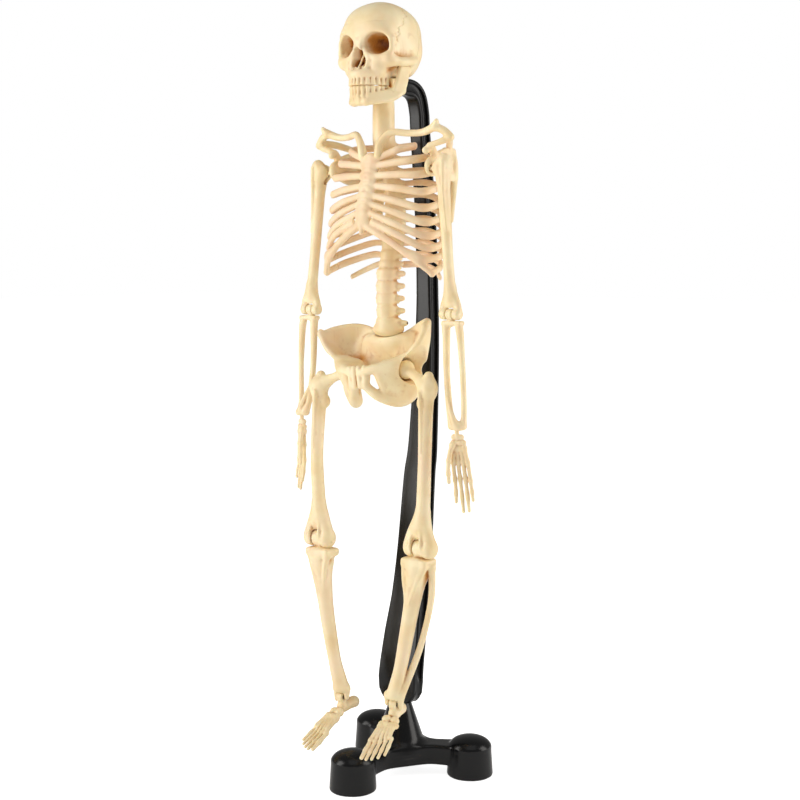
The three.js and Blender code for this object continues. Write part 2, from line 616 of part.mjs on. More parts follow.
function thigh(side) {
  const k = vec(side * KNEE.x, KNEE.y, KNEE.z);
  const head = ball(vec(0, 0, 0), vec(HIP_BALL, HIP_BALL, HIP_BALL), 10, 7);
  const neck = rod(vec(side * 1, 0, 0), vec(side * 14, -3, -4), 2.6, 3.4, 6);
  const trochanter = ball(vec(side * 14.6, -3.4, -3.4), vec(3.8, 4, 4.4), 7, 5);
  const line = [vec(13.6, -3.4, -4), vec(13.6, -4.6, -14), vec(14, -5.6, -40), vec(13.4, -5.4, -62), KNEE];
  const shaft = bar(mirrored(line, side), [3.8, 3, 2.9, 3.6, 5.6], 6, 7);
  const slot = block(vec(k.x - 2.6, k.y - 9, k.z - 9), vec(k.x + 2.6, k.y + 9, k.z + 7.6));
  const hole = drum(k, KNEE_PIN + GAP, 12, 6);
  const room = join(
    block(vec(Math.min(0, side * -6), -1.3, -6), vec(Math.max(0, side * -6), 1.3, 6)),
    rod(vec(0, -1.3, 0), vec(0, 1.3, 0), 3.4, 3.4, 12),
  );
  return cut(join(head, neck, trochanter, shaft, drum(k, 5.8, 8)), slot, hole, room);
}

function shin(side, yaw) {
  const a = vec(side * ANKLE.x, ANKLE.y, ANKLE.z);
  const tongue = drum(vec(0, 0, 0), 5.6, 2.3);
  const plateau = rod(vec(0, 0, -6.3), vec(0, 0, -13), 8, 4.6, 9, 0.75);
  const stem = block(vec(-2.3, -3.4, -7), vec(2.3, 3.4, 0));
  const tibiaLine = [
    vec(-1, -0.6, -11), vec(-5, -1.4, -28), vec(-10, -1.4, -50), vec(ANKLE.x + 2, ANKLE.y, ANKLE.z + 8),
  ];
  const fibulaLine = [
    vec(5, 1.6, -10), vec(1.4, 2.4, -28), vec(-4, 2, -50), vec(ANKLE.x + 4.6, ANKLE.y + 1, ANKLE.z + 6),
  ];
  const tibia = bar(mirrored(tibiaLine, side), [4, 3, 2.3, 3], 5, 6);
  const fibula = bar(mirrored(fibulaLine, side), [1.7, 1.2, 1.2, 1.8], 4, 5);
  const fork = join(
    rod(vec(a.x + side * 2, a.y, a.z + 9), vec(a.x + side * 0.4, a.y, a.z + 4), 3.2, 4.1, 7, 0.8),
    drum(a, 2.6, 4, 10, yaw),
    block(vec(a.x - 4, a.y - 2.4, a.z), vec(a.x + 4, a.y + 2.4, a.z + 5), yaw),
  );
  const slot = block(vec(a.x - 2, a.y - 8, a.z - 6), vec(a.x + 2, a.y + 8, a.z + 4), yaw);
  const holes = [drum(vec(0, 0, 0), KNEE_PIN + GAP, 6, 6), drum(a, SMALL_PIN + GAP, 8, 6, yaw)];
  return cut(join(tongue, plateau, stem, tibia, fibula, fork), slot, ...holes);
}

function foot(side) {
  const tongue = join(drum(vec(0, 0, 0), 2.4, 1.6), block(vec(-1.6, -2, -5), vec(1.6, 2, 0)));
  const heelBall = ball(vec(0, 4.4, -6), vec(3, 4.4, 3.2), 7, 5);
  const instep = ball(vec(0, -2, -5.6), vec(3.8, 6, 2.6), 7, 5);
  const tips = [[-4.4, -31, 1.5], [-2.2, -32, 1.05], [0.1, -31, 1.05], [2.3, -29.4, 1.05], [4.4, -27, 1.05]];
  const toes = tips.map(([x, reach, r]) => {
    const line = [vec(x * 0.5, -4, -5), vec(x * 0.95, -16, -6), vec(x * 1.1 + 0.3, reach, -7.4)];
    return bar(mirrored(line, side), [r * 1.3, r, r * 0.8], 2, 4);
  });
  return cut(join(tongue, heelBall, instep, ...toes), drum(vec(0, 0, 0), SMALL_PIN + GAP, 4, 6));
}

// ---- assembly ----
const model = new THREE.Group();
model.position.y = HUB_BACK;

function place(parent, name, body, material, at = vec(0, 0, 0)) {
  const mesh = meshOf(name, body, material);
  mesh.position.copy(at);
  parent.add(mesh);
  return mesh;
}

function joint(parent, name, at) {
  const group = new THREE.Group();
  group.name = name;
  group.position.copy(at);
  parent.add(group);
  return group;
}

place(model, "stand_base", standBase(), blackGloss);
place(model, "stand_post", standPost(), blackGloss);
place(model, "post_screw", postScrew(), steel);
for (const where of Object.keys(FOOT_ANGLES)) {
  place(model, `foot_cover_${where}`, footCover(footCentre(where)), blackGloss);
  place(model, `foot_ballast_${where}`, footBallast(footCentre(where)), steel);
}

const spineSolid = spine();
const allRibs = ribs();
place(model, "spine", spineSolid, bone);
place(model, "rib_cage_front", ribCageFront(allRibs), ribBone);
place(model, "rib_cage_back", ribCageBack(allRibs, spineSolid), ribBone);

const wholeSkull = skull();
place(model, "skull_front", skullHalf(wholeSkull, true), bone);
place(model, "skull_back", skullHalf(wholeSkull, false), bone);
place(model, "mandible", mandible(), bone);

const waist = joint(model, "pelvis_frame", vec(PELVIS_SHIFT, WAIST.y, WAIST.z));
waist.rotation.y = -rad(PELVIS_TILT);
place(waist, "pelvis", pelvis(), bone);
waist.updateMatrix();

for (const [name, side] of Object.entries({ left: 1, right: -1 })) {
  place(model, `shoulder_girdle_${name}`, shoulderGirdle(side), bone);
  const shoulder = joint(model, `shoulder_${name}`, vec(side * SHOULDER.x, SHOULDER.y, SHOULDER.z));
  place(shoulder, `shoulder_peg_${name}`, shoulderPeg(side), bone);
  place(shoulder, `upper_arm_${name}`, upperArm(side), bone);
  const elbow = joint(shoulder, `elbow_${name}`, vec(side * ELBOW.x, ELBOW.y, ELBOW.z));
  place(elbow, `elbow_pin_${name}`, drum(vec(0, 0, 0), SMALL_PIN, 4.6, 6), steel);
  place(elbow, `forearm_${name}`, forearm(side), bone);
  const wrist = joint(elbow, `wrist_${name}`, vec(side * WRIST.x, WRIST.y, WRIST.z));
  wrist.rotation.z = side * rad(HAND_TURN);
  place(wrist, `hand_${name}`, hand(side), bone);

  const hip = joint(model, `hip_${name}`, vec(side * HIP.x, HIP.y, HIP.z).applyMatrix4(waist.matrix));
  place(hip, `hip_peg_${name}`, hipPeg(side), bone);
  place(hip, `thigh_${name}`, thigh(side), bone);
  const knee = joint(hip, `knee_${name}`, vec(side * KNEE.x, KNEE.y, KNEE.z));
  place(knee, `knee_pin_${name}`, drum(vec(0, 0, 0), KNEE_PIN, 7.4, 8), steel);
  place(knee, `shin_${name}`, shin(side, FOOT_YAW[name]), bone);
  const ankle = joint(knee, `ankle_${name}`, vec(side * ANKLE.x, ANKLE.y, ANKLE.z));
  ankle.rotation.set(rad(FOOT_PITCH), 0, rad(FOOT_YAW[name]), "ZXY");
  place(ankle, `ankle_pin_${name}`, drum(vec(0, 0, 0), SMALL_PIN, 3.7, 6), steel);
  place(ankle, `foot_${name}`, foot(side), bone);
}

export default model;
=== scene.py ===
"""Looks of the desktop skeleton model: smooth moulded bones, a gloss black stand, a studio and a camera.

Every bone is modelled as a lump of clay, a signed distance field on a grid, and then skinned.
Sizes are millimetres. Trunk and head use hub coordinates, whose origin is on the floor under the
hub of the stand, and each limb bone is modelled about its own joint.
"""

import json
import math

import bmesh
import bpy
import numpy as np
from mathutils import Matrix, Vector


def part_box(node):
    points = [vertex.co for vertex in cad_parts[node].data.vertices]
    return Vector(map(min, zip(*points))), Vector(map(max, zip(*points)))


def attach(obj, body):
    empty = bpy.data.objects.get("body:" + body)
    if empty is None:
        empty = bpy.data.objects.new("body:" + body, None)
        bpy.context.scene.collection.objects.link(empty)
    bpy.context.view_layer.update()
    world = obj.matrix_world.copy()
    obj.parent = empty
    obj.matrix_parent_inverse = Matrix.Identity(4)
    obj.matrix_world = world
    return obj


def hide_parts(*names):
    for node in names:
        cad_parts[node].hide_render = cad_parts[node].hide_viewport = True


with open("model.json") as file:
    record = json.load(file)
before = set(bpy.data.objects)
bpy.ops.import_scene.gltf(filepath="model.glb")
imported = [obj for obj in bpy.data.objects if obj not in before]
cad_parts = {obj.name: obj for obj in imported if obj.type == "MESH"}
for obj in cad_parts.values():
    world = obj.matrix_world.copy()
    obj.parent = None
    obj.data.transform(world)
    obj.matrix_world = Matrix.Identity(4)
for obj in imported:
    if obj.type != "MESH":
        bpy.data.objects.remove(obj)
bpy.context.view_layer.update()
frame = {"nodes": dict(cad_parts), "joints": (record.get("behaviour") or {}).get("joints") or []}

MM = 0.001
FAR = 6.0  # the field's value away from every surface
SIDES = {"left": 1, "right": -1}

# ---- places from the frame ----
JOINTS = {j["name"]: j for j in frame["joints"]}


def pivot(name):
    return Vector(JOINTS[name]["pos_m"]) / MM


def middle(node):
    low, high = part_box(node)
    return (Vector(low) + Vector(high)) / (2 * MM)


HUB = Vector((0, middle("post_screw").y, 0))
HIP_LINE = pivot("hip_swing_left") - pivot("hip_swing_right")
PELVIS_TILT = math.atan2(HIP_LINE.z, HIP_LINE.x)
WAIST = pivot("waist_turn")
HAND_TURN = math.radians(25)
FOOT_PITCH = math.radians(20)


# ---- clay ----
def points(*rows):
    return [np.array(row, float) for row in rows]


def mirror(rows, side):
    return [np.array((side * row[0], row[1], row[2]), float) for row in rows]


def curve(rows, count):
    """count points along a Catmull-Rom curve through rows, which may hold any number of values each."""
    rows = [np.array(row, float) for row in rows]
    padded = [2 * rows[0] - rows[1], *rows, 2 * rows[-1] - rows[-2]]
    made = []
    for i in range(count):
        along = i / (count - 1) * (len(rows) - 1)
        k = min(int(along), len(rows) - 2)
        t = along - k
        a, b, c, d = padded[k : k + 4]
        made.append(
            0.5 * (2 * b + (c - a) * t + (2 * a - 5 * b + 4 * c - d) * t**2 + (3 * b - a - 3 * c + d) * t**3)
        )
    return made


class Clay:
    """A lump of clay: a signed distance field in millimetres on a regular grid."""

    def __init__(self, low, high, cell=0.35):
        self.low = np.array(low, float)
        self.cell = cell
        self.count = np.ceil((np.array(high, float) - self.low) / cell).astype(int) + 1
        self.field = np.full(self.count, FAR, np.float32)

    def emptied(self):
        """A second, empty lump on the same grid."""
        made = Clay(self.low, self.low, self.cell)
        made.count = self.count
        made.field = np.full(self.count, FAR, np.float32)
        return made

    def patch(self, low, high):
        """The part of the grid in a box: its slices, and X, Y and Z there, ready to broadcast."""
        first = np.clip(np.floor((np.array(low) - self.low) / self.cell).astype(int), 0, self.count)
        last = np.clip(np.ceil((np.array(high) - self.low) / self.cell).astype(int) + 1, 0, self.count)
        where = tuple(slice(a, max(a, b)) for a, b in zip(first, last))
        axes = [
            (self.low[i] + self.cell * np.arange(where[i].start, where[i].stop)).astype(np.float32)
            for i in range(3)
        ]
        return where, axes[0][:, None, None], axes[1][None, :, None], axes[2][None, None, :]

    def everywhere(self):
        """X, Y and Z over the whole grid."""
        return self.patch(self.low, self.low + self.cell * self.count)[1:]

    def add(self, shape, soft):
        """Joins a shape to the lump. soft is how wide the seam is smoothed, in millimetres."""
        self._mix(shape, soft, False)

    def cut(self, shape, soft):
        """Takes a shape out of the lump, with an edge that is rounded over soft millimetres."""
        self._mix(shape, soft, True)

    def _mix(self, shape, soft, cutting):
        low, high, distance = shape
        reach = soft + 2 * self.cell
        where, x, y, z = self.patch(low - reach, high + reach)
        if 0 in self.field[where].shape:
            return
        a = -self.field[where] if cutting else self.field[where]
        b = distance(self, where, x, y, z)
        h = np.maximum(soft - np.abs(a - b), 0) / soft
        mixed = np.minimum(a, b) - h * h * soft / 4
        self.field[where] = -mixed if cutting else mixed

    def skin(self):
        """The surface as points and quads, by surface nets."""
        f = self.field
        inside = f < 0
        n = np.array(f.shape)
        corners = [(i, j, k) for i in (0, 1) for j in (0, 1) for k in (0, 1)]
        total = np.zeros(n - 1, np.int8)
        for i, j, k in corners:
            total += inside[i : n[0] - 1 + i, j : n[1] - 1 + j, k : n[2] - 1 + k]
        cells = np.argwhere((total > 0) & (total < 8))
        index = np.full(n - 1, -1, np.int32)
        index[tuple(cells.T)] = np.arange(len(cells))
        place = np.zeros((len(cells), 3))
        hits = np.zeros(len(cells))
        for axis in range(3):
            step = np.eye(3, dtype=int)[axis]
            for corner in corners:
                if corner[axis]:
                    continue
                a = f[tuple((cells + corner).T)]
                b = f[tuple((cells + corner + step).T)]
                crossed = (a < 0) != (b < 0)
                t = a[crossed] / (a[crossed] - b[crossed])
                place[crossed] += np.array(corner) + t[:, None] * step
                hits[crossed] += 1
        place = self.low + self.cell * (cells + place / hits[:, None])
        quads = []
        for axis in range(3):
            step = np.eye(3, dtype=int)[axis]
            u, v = np.eye(3, dtype=int)[(axis + 1) % 3], np.eye(3, dtype=int)[(axis + 2) % 3]
            here = inside[tuple(slice(0, n[i] - step[i]) for i in range(3))]
            there = inside[tuple(slice(step[i], n[i]) for i in range(3))]
            edges = np.argwhere(here != there)
            edges = edges[(edges[:, (axis + 1) % 3] > 0) & (edges[:, (axis + 2) % 3] > 0)]
            edges = edges[np.all(edges + u < n, 1) & np.all(edges + v < n, 1)]
            ring = np.stack([index[tuple((edges - s).T)] for s in (0 * u, u, u + v, v)], 1)
            leaving = inside[tuple(edges.T)]
            ring[~leaving] = ring[~leaving][:, ::-1]
            quads.append(ring)
        return place, np.concatenate(quads)

    def depth(self, place, radius):
        """How much of a box round each point is clay: a half on a flat face, more in a hollow."""
        full = (self.field < 0).astype(np.float32)
        r = max(1, round(radius / self.cell))
        wide = 2 * r + 1
        for axis in range(3):
            pad = [(0, 0)] * 3
            pad[axis] = (r + 1, r)
            run = np.cumsum(np.pad(full, pad), axis)
            size = full.shape[axis]
            ends = np.take(run, np.arange(wide, wide + size), axis)
            starts = np.take(run, np.arange(size), axis)
            full = (ends - starts) / wide
        nearest = np.clip(np.round((place - self.low) / self.cell).astype(int), 0, self.count - 1)
        return full[tuple(nearest.T)]


def near(clay, where, low, high, reach):
    """The slices of a small box inside a patch, relative to the patch."""
    kept = []
    for a, b in zip(clay.patch(low - reach, high + reach)[0], where):
        start, stop = max(a.start, b.start), min(a.stop, b.stop)
        kept.append(slice(start - b.start, max(start, stop) - b.start))
    return tuple(kept)


def rounded(a, b, rounding):
    """The distance to an edge between two faces that lie a and b away, with the edge rounded off."""
    outer = np.sqrt(np.maximum(a, 0) ** 2 + np.maximum(b, 0) ** 2)
    return outer + np.minimum(np.maximum(a, b), 0) - rounding


def yawed(x, y, z, centre, yaw):
    """x, y and z from a centre, along axes that are turned about Z by yaw."""
    c, s = math.cos(yaw), math.sin(yaw)
    p = (x - centre[0], y - centre[1])
    return [c * p[0] + s * p[1], c * p[1] - s * p[0], z - centre[2]]


def ball(centre, size, turn=None):
    """An ellipsoid with semi-axes size, turned by a 3x3 matrix."""
    centre, size = np.array(centre, float), np.array(size, float)
    rows = np.eye(3) if turn is None else np.array(turn)
    reach = size if turn is None else np.full(3, size.max())

    def distance(clay, where, x, y, z):
        p = (x - centre[0], y - centre[1], z - centre[2])
        q = [rows[0][i] * p[0] + rows[1][i] * p[1] + rows[2][i] * p[2] for i in range(3)]
        k0 = np.sqrt(sum((q[i] / size[i]) ** 2 for i in range(3)))
        k1 = np.sqrt(sum((q[i] / size[i] ** 2) ** 2 for i in range(3)))
        return np.where(k1 > 1e-6, k0 * (k0 - 1) / np.maximum(k1, 1e-6), -size.min())

    return centre - reach, centre + reach, distance


def limb(places, radii, squeeze=None):
    """A round bar through places. squeeze is an axis and a factor: above 1, thinner along that axis."""
    places = [np.array(p, float) for p in places]
    radii = np.broadcast_to(radii, len(places)).astype(float)
    axis, factor = (np.zeros(3), 1.0) if squeeze is None else squeeze
    axis = np.array(axis, float) / max(np.linalg.norm(axis), 1e-9)
    grow = radii.max() * max(1, 1 / factor)
    stack = np.stack(places)

    def distance(clay, where, x, y, z):
        found = np.full([s.stop - s.start for s in where], FAR, np.float32)
        for a, b, ra, rb in zip(places, places[1:], radii, radii[1:]):
            part = near(clay, where, np.minimum(a, b), np.maximum(a, b), grow + 1.6)
            px, py, pz = x[part[0]] - a[0], y[:, part[1]] - a[1], z[:, :, part[2]] - a[2]
            d = b - a
            t = np.clip((px * d[0] + py * d[1] + pz * d[2]) / max(d @ d, 1e-9), 0, 1)
            qx, qy, qz = px - t * d[0], py - t * d[1], pz - t * d[2]
            if factor != 1:
                along = (qx * axis[0] + qy * axis[1] + qz * axis[2]) * (factor - 1)
                qx, qy, qz = qx + along * axis[0], qy + along * axis[1], qz + along * axis[2]
            r = ra + (rb - ra) * t
            length = np.sqrt(qx * qx + qy * qy + qz * qz)
            found[part] = np.minimum(found[part], length - r)
        return found

    return stack.min(0) - grow, stack.max(0) + grow, distance


def bent(rows, radii, count=8, stops=None, squeeze=None):
    """A bar along a curve. Its radii lie at stops, fractions of its length, or go from one to the other."""
    swell = np.linspace(*radii, count) if stops is None else np.interp(np.linspace(0, 1, count), stops, radii)
    return limb(curve(rows, count), swell, squeeze)


def sheet(rails, radii, count, across):
    """A thin curved blade: count bars, each bent through one point of every rail."""
    lines = [curve(rail, count) for rail in rails]
    swell = [np.interp(np.linspace(0, 1, count), np.linspace(0, 1, len(r)), r) for r in radii]
    bars = []
    for i in range(count):
        rows = [np.append(line[i], thick[i]) for line, thick in zip(lines, swell)]
        steps = np.stack(curve(rows, across))
        bars.append(limb(list(steps[:, :3]), steps[:, 3]))
    low = np.min([b[0] for b in bars], 0)
    high = np.max([b[1] for b in bars], 0)

    def distance(clay, where, x, y, z):
        found = np.full([s.stop - s.start for s in where], FAR, np.float32)
        for bar_low, bar_high, bar in bars:
            part = near(clay, where, bar_low, bar_high, 1.2)
            inner = tuple(slice(w.start + p.start, w.start + p.stop) for w, p in zip(where, part))
            value = bar(clay, inner, x[part[0]], y[:, part[1]], z[:, :, part[2]])
            found[part] = np.minimum(found[part], value)
        return found

    return low, high, distance


def drum(centre, radius, half, axis, rounding=0.5, yaw=0.0):
    """A round barrel along an axis, with rounded rims. yaw turns it about Z, in radians."""
    centre = np.array(centre, float)
    way = "xyz".index(axis)
    reach = np.full(3, radius if yaw == 0 else max(radius, half))
    reach[way] = max(half, reach[way]) if yaw else half

    def distance(clay, where, x, y, z):
        p = yawed(x, y, z, centre, yaw)
        side = [p[i] for i in range(3) if i != way]
        a = np.sqrt(side[0] ** 2 + side[1] ** 2) - radius + rounding
        return rounded(a, np.abs(p[way]) - half + rounding, rounding)

    return centre - reach, centre + reach, distance


def block(low, high, rounding, yaw=0.0):
    """A box with rounded edges. yaw turns it about Z, in radians."""
    low, high = np.array(low, float), np.array(high, float)
    centre, half = (low + high) / 2, (high - low) / 2
    reach = half if yaw == 0 else np.array([np.hypot(*half[:2])] * 2 + [half[2]])

    def distance(clay, where, x, y, z):
        p = yawed(x, y, z, centre, yaw)
        q = [np.abs(p[i]) - half[i] + rounding for i in range(3)]
        outer = np.sqrt(sum(np.maximum(v, 0) ** 2 for v in q))
        return outer + np.minimum(np.maximum(np.maximum(q[0], q[1]), q[2]), 0) - rounding

    return centre - reach, centre + reach, distance


# ---- meshes ----
def relax(place, quads, values, rounds):
    """Averages values over neighbouring points, rounds times."""
    pairs = np.concatenate([quads[:, [i, (i + 1) % 4]] for i in range(4)])
    first, second = pairs.T
    count = np.bincount(pairs.ravel(), minlength=len(place))
    for _ in range(rounds):
        mean = [
            np.bincount(first, v[second], len(place)) + np.bincount(second, v[first], len(place))
            for v in values.T
        ]
        values = 0.5 * values + 0.5 * (np.stack(mean, 1) / count[:, None])
    return values


def mesh_piece(name, place, quads, material, body, nodes):
    """A finished piece from points in metres and quads."""
    mesh = bpy.data.meshes.new(name)
    mesh.vertices.add(len(place))
    mesh.vertices.foreach_set("co", place.astype(np.float32).ravel())
    mesh.loops.add(quads.size)
    mesh.loops.foreach_set("vertex_index", quads.ravel())
    mesh.polygons.add(len(quads))
    mesh.polygons.foreach_set("loop_start", np.arange(0, quads.size, 4))
    mesh.polygons.foreach_set("loop_total", np.full(len(quads), 4))
    mesh.update(calc_edges=True)
    mesh.validate()
    mesh.polygons.foreach_set("use_smooth", np.ones(len(mesh.polygons), bool))
    mesh.materials.append(material)
    piece = bpy.data.objects.new(name, mesh)
    bpy.context.scene.collection.objects.link(piece)
    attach(piece, body)
    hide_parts(*nodes)
    return piece


def bone_piece(name, clay, where, body, smooth=2, ribs=False):
    """Skins the clay, moves it by the matrix where, and stores how deep each point lies in a hollow."""
    material, slot = (RIB, "rib_plastic") if ribs else (BONE, "bone_plastic")
    place, quads = clay.skin()
    hollow = np.stack([clay.depth(place, 0.9), clay.depth(place, 3.2)], 1)
    hollow = relax(place, quads, hollow, 4)
    place = relax(place, quads, place, smooth)
    turned = np.c_[place, np.ones(len(place))] @ np.array(where).T[:, :3]
    piece = mesh_piece(name, turned * MM, quads, material, body, [name])
    # Painted shade: these two values darken the bone colour in creases and in deeper hollows, where shade
    # falls.
    crevice_shade = np.clip((hollow[:, 0] - 0.53) * 4.5, 0, 1)
    cavity_shade = np.clip((hollow[:, 1] - 0.5) * 4.0, 0, 1)
    for title, values in (("crevice_shade", crevice_shade), ("cavity_shade", cavity_shade)):
        layer = piece.data.attributes.new(title, "FLOAT", "POINT")
        layer.data.foreach_set("value", values.astype(np.float32))


# ---- materials ----
def linear(r, g, b):
    """A colour picked as 0-255 sRGB, in the shader's linear units."""
    return (*[((v / 255 + 0.055) / 1.055) ** 2.4 if v > 10 else v / 255 / 12.92 for v in (r, g, b)], 1)


def new_material(name):
    made = bpy.data.materials.new(name)
    made.use_nodes = True
    return made, made.node_tree.nodes, made.node_tree.links, made.node_tree.nodes["Principled BSDF"]


def ramp(nodes, stops):
    node = nodes.new("ShaderNodeValToRGB")
    elements = node.color_ramp.elements
    elements[0].position, elements[0].color = stops[0]
    elements[1].position, elements[1].color = stops[-1]
    for position, colour in stops[1:-1]:
        elements.new(position).color = colour
    return node


def noise(nodes, links, scale, detail=4.0):
    where = nodes.new("ShaderNodeTexCoord")
    node = nodes.new("ShaderNodeTexNoise")
    node.inputs["Scale"].default_value = scale
    node.inputs["Detail"].default_value = detail
    links.new(where.outputs["Object"], node.inputs["Vector"])
    return node


def blend_colour(nodes, links, factor, a, b, kind="MIX"):
    node = nodes.new("ShaderNodeMix")
    node.data_type = "RGBA"
    node.blend_type = kind
    for socket, value in (("Factor", factor), ("A", a), ("B", b)):
        wanted = "VALUE" if socket == "Factor" else "RGBA"
        target = next(s for s in node.inputs if s.name == socket and s.type == wanted)
        if hasattr(value, "links"):
            links.new(value, target)
        else:
            target.default_value = value
    return next(s for s in node.outputs if s.type == "RGBA")


def scaled(nodes, links, value, factor, offset=0.0):
    node = nodes.new("ShaderNodeMath")
    node.operation = "MULTIPLY_ADD"
    links.new(value, node.inputs[0])
    node.inputs[1].default_value = factor
    node.inputs[2].default_value = offset
    node.use_clamp = True
    return node.outputs[0]


def add_bump(nodes, links, shader, height, strength, distance):
    bump = nodes.new("ShaderNodeBump")
    bump.inputs["Strength"].default_value = strength
    bump.inputs["Distance"].default_value = distance
    links.new(height, bump.inputs["Height"])
    links.new(bump.outputs["Normal"], shader.inputs["Normal"])


WHITE = linear(255, 255, 255)
# Painted shade: colour ramps that darken the bone towards ochre and amber-brown in creases and hollows, where
# shade falls.
HOLLOW_SHADE_RAMPS = (
    ("cavity_shade", [(0.0, WHITE), (0.5, linear(216, 168, 100)), (1.0, linear(146, 88, 30))]),
    ("crevice_shade", [(0.0, WHITE), (1.0, linear(188, 140, 84))]),
)


def bone_material(name, pale, warm, blush):
    """Satin moulded plastic, with painted shade that darkens it where it is hollow, with cloudy colour and
    fine pores.
    """
    made, nodes, links, shader = new_material(name)
    clouds = noise(nodes, links, 90)
    tint = blend_colour(nodes, links, scaled(nodes, links, clouds.outputs["Fac"], 3.0, -1.1), pale, warm)
    patches = noise(nodes, links, 38)
    tint = blend_colour(nodes, links, scaled(nodes, links, patches.outputs["Fac"], 2.6, -1.15), tint, blush)
    # Painted shade: each hollow measure darkens the colour through its ramp, multiplied into the base colour.
    for attribute, stops in HOLLOW_SHADE_RAMPS:
        source = nodes.new("ShaderNodeAttribute")
        source.attribute_name = attribute
        shade_ramp = ramp(nodes, stops)
        links.new(source.outputs["Fac"], shade_ramp.inputs["Fac"])
        tint = blend_colour(nodes, links, 1.0, tint, shade_ramp.outputs["Color"], "MULTIPLY")
    links.new(tint, shader.inputs["Base Color"])
    pores = noise(nodes, links, 1400, 2.0)
    links.new(scaled(nodes, links, pores.outputs["Fac"], 0.16, 0.34), shader.inputs["Roughness"])
    add_bump(nodes, links, shader, pores.outputs["Fac"], 0.12, 0.0002)
    shader.inputs["Subsurface Weight"].default_value = 0.18
    shader.inputs["Subsurface Radius"].default_value = (1.0, 0.55, 0.25)
    shader.inputs["Subsurface Scale"].default_value = 0.0025
    return made


def black_material():
    """Gloss black moulded plastic with a faint orange-peel surface and handling marks in the gloss."""
    made, nodes, links, shader = new_material("black_plastic")
    marks = noise(nodes, links, 60, 6.0)
    tone = blend_colour(nodes, links, marks.outputs["Fac"], linear(5, 5, 6), linear(11, 12, 13))
    links.new(tone, shader.inputs["Base Color"])
    links.new(scaled(nodes, links, marks.outputs["Fac"], 0.18, 0.14), shader.inputs["Roughness"])
    shader.inputs["Specular IOR Level"].default_value = 0.3
    peel = noise(nodes, links, 420, 1.0)
    add_bump(nodes, links, shader, peel.outputs["Fac"], 0.06, 0.0003)
    return made


def steel_material():
    """Turned steel with fine brushing round the pins."""
    made, nodes, links, shader = new_material("steel")
    grain = noise(nodes, links, 900, 3.0)
    tone = blend_colour(nodes, links, grain.outputs["Fac"], linear(140, 140, 138), linear(190, 188, 184))
    links.new(tone, shader.inputs["Base Color"])
    shader.inputs["Metallic"].default_value = 1.0
    links.new(scaled(nodes, links, grain.outputs["Fac"], 0.3, 0.2), shader.inputs["Roughness"])
    return made


BONE = bone_material("bone_plastic", linear(250, 232, 190), linear(238, 212, 160), linear(246, 220, 186))
RIB = bone_material("rib_plastic", linear(247, 224, 186), linear(236, 204, 160), linear(244, 208, 182))
BLACK = black_material()
STEEL = steel_material()


def sided_clay(side, low, high, cell):
    """A grid whose box is given for the +X side of the body."""
    if side < 0:
        low, high = (-high[0], *low[1:]), (-low[0], *high[1:])
    return Clay(low, high, cell)


def moved(offset, turn=None):
    return Matrix.Translation(offset) @ (turn or Matrix.Identity(4))


# ---- skull ----
SEAM_Y = -5.0  # where the front and back mouldings of the skull meet
ARCH_MIDDLE = -18.9  # the tooth arches are half ovals about this y
ARCH_TURNS = [math.radians(14.4 * (i - 6.5)) for i in range(14)]
SUTURE_HEIGHTS = (318, 322, 327, 331, 336, 341.5)
SUTURE_PLACES = (-16.8, -17.4, -18.6, -17.2, -12, -9.6)
SUTURE_LOW = 324.5  # the seam across the crown ends here on both sides


def tooth_place(turn, width, reach, z):
    return np.array((width * math.sin(turn), ARCH_MIDDLE - reach * math.cos(turn), z))


def tooth_row(clay, width, reach, edge, neck, root):
    """One row of fourteen teeth: crowns from edge to neck, with roots that run on to root."""
    for turn in ARCH_TURNS:
        grow = 1 + 0.22 * abs(math.sin(turn))
        crown = [tooth_place(turn, width, reach, edge), tooth_place(turn, width, reach, neck)]
        clay.add(limb(crown, (1.0 * grow, 0.84 * grow)), 0.16)
        low = tooth_place(turn, width * 0.98, reach * 0.98, neck)
        high = tooth_place(turn, width * 0.93, reach * 0.95, root)
        clay.add(limb([low, high], (0.86 * grow, 0.5)), 0.6)


def cranium(clay):
    clay.add(ball((0, -10.2, 324.6), (15.3, 16.7, 16.7)), 1)
    clay.add(ball((0, -9.4, 330.4), (14.2, 15.5, 11.5)), 2)
    clay.add(ball((0, -14.6, 330.4), (12.6, 12.8, 11.6)), 4)
    clay.add(ball((0, -3.4, 322), (12.0, 9.0, 9.6)), 3)
    clay.add(ball((0, -7, 316.4), (11.2, 9.6, 5.2)), 3)
    for side in (1, -1):
        clay.add(ball((side * 5.4, -17.2, 331.0), (8.6, 9.0, 9.0)), 3)
        clay.add(ball((side * 8.8, -18, 321.4), (5.0, 5.6, 6.4)), 2.5)
        clay.add(ball((side * 10.2, -11.5, 318), (4.4, 7, 5)), 2)


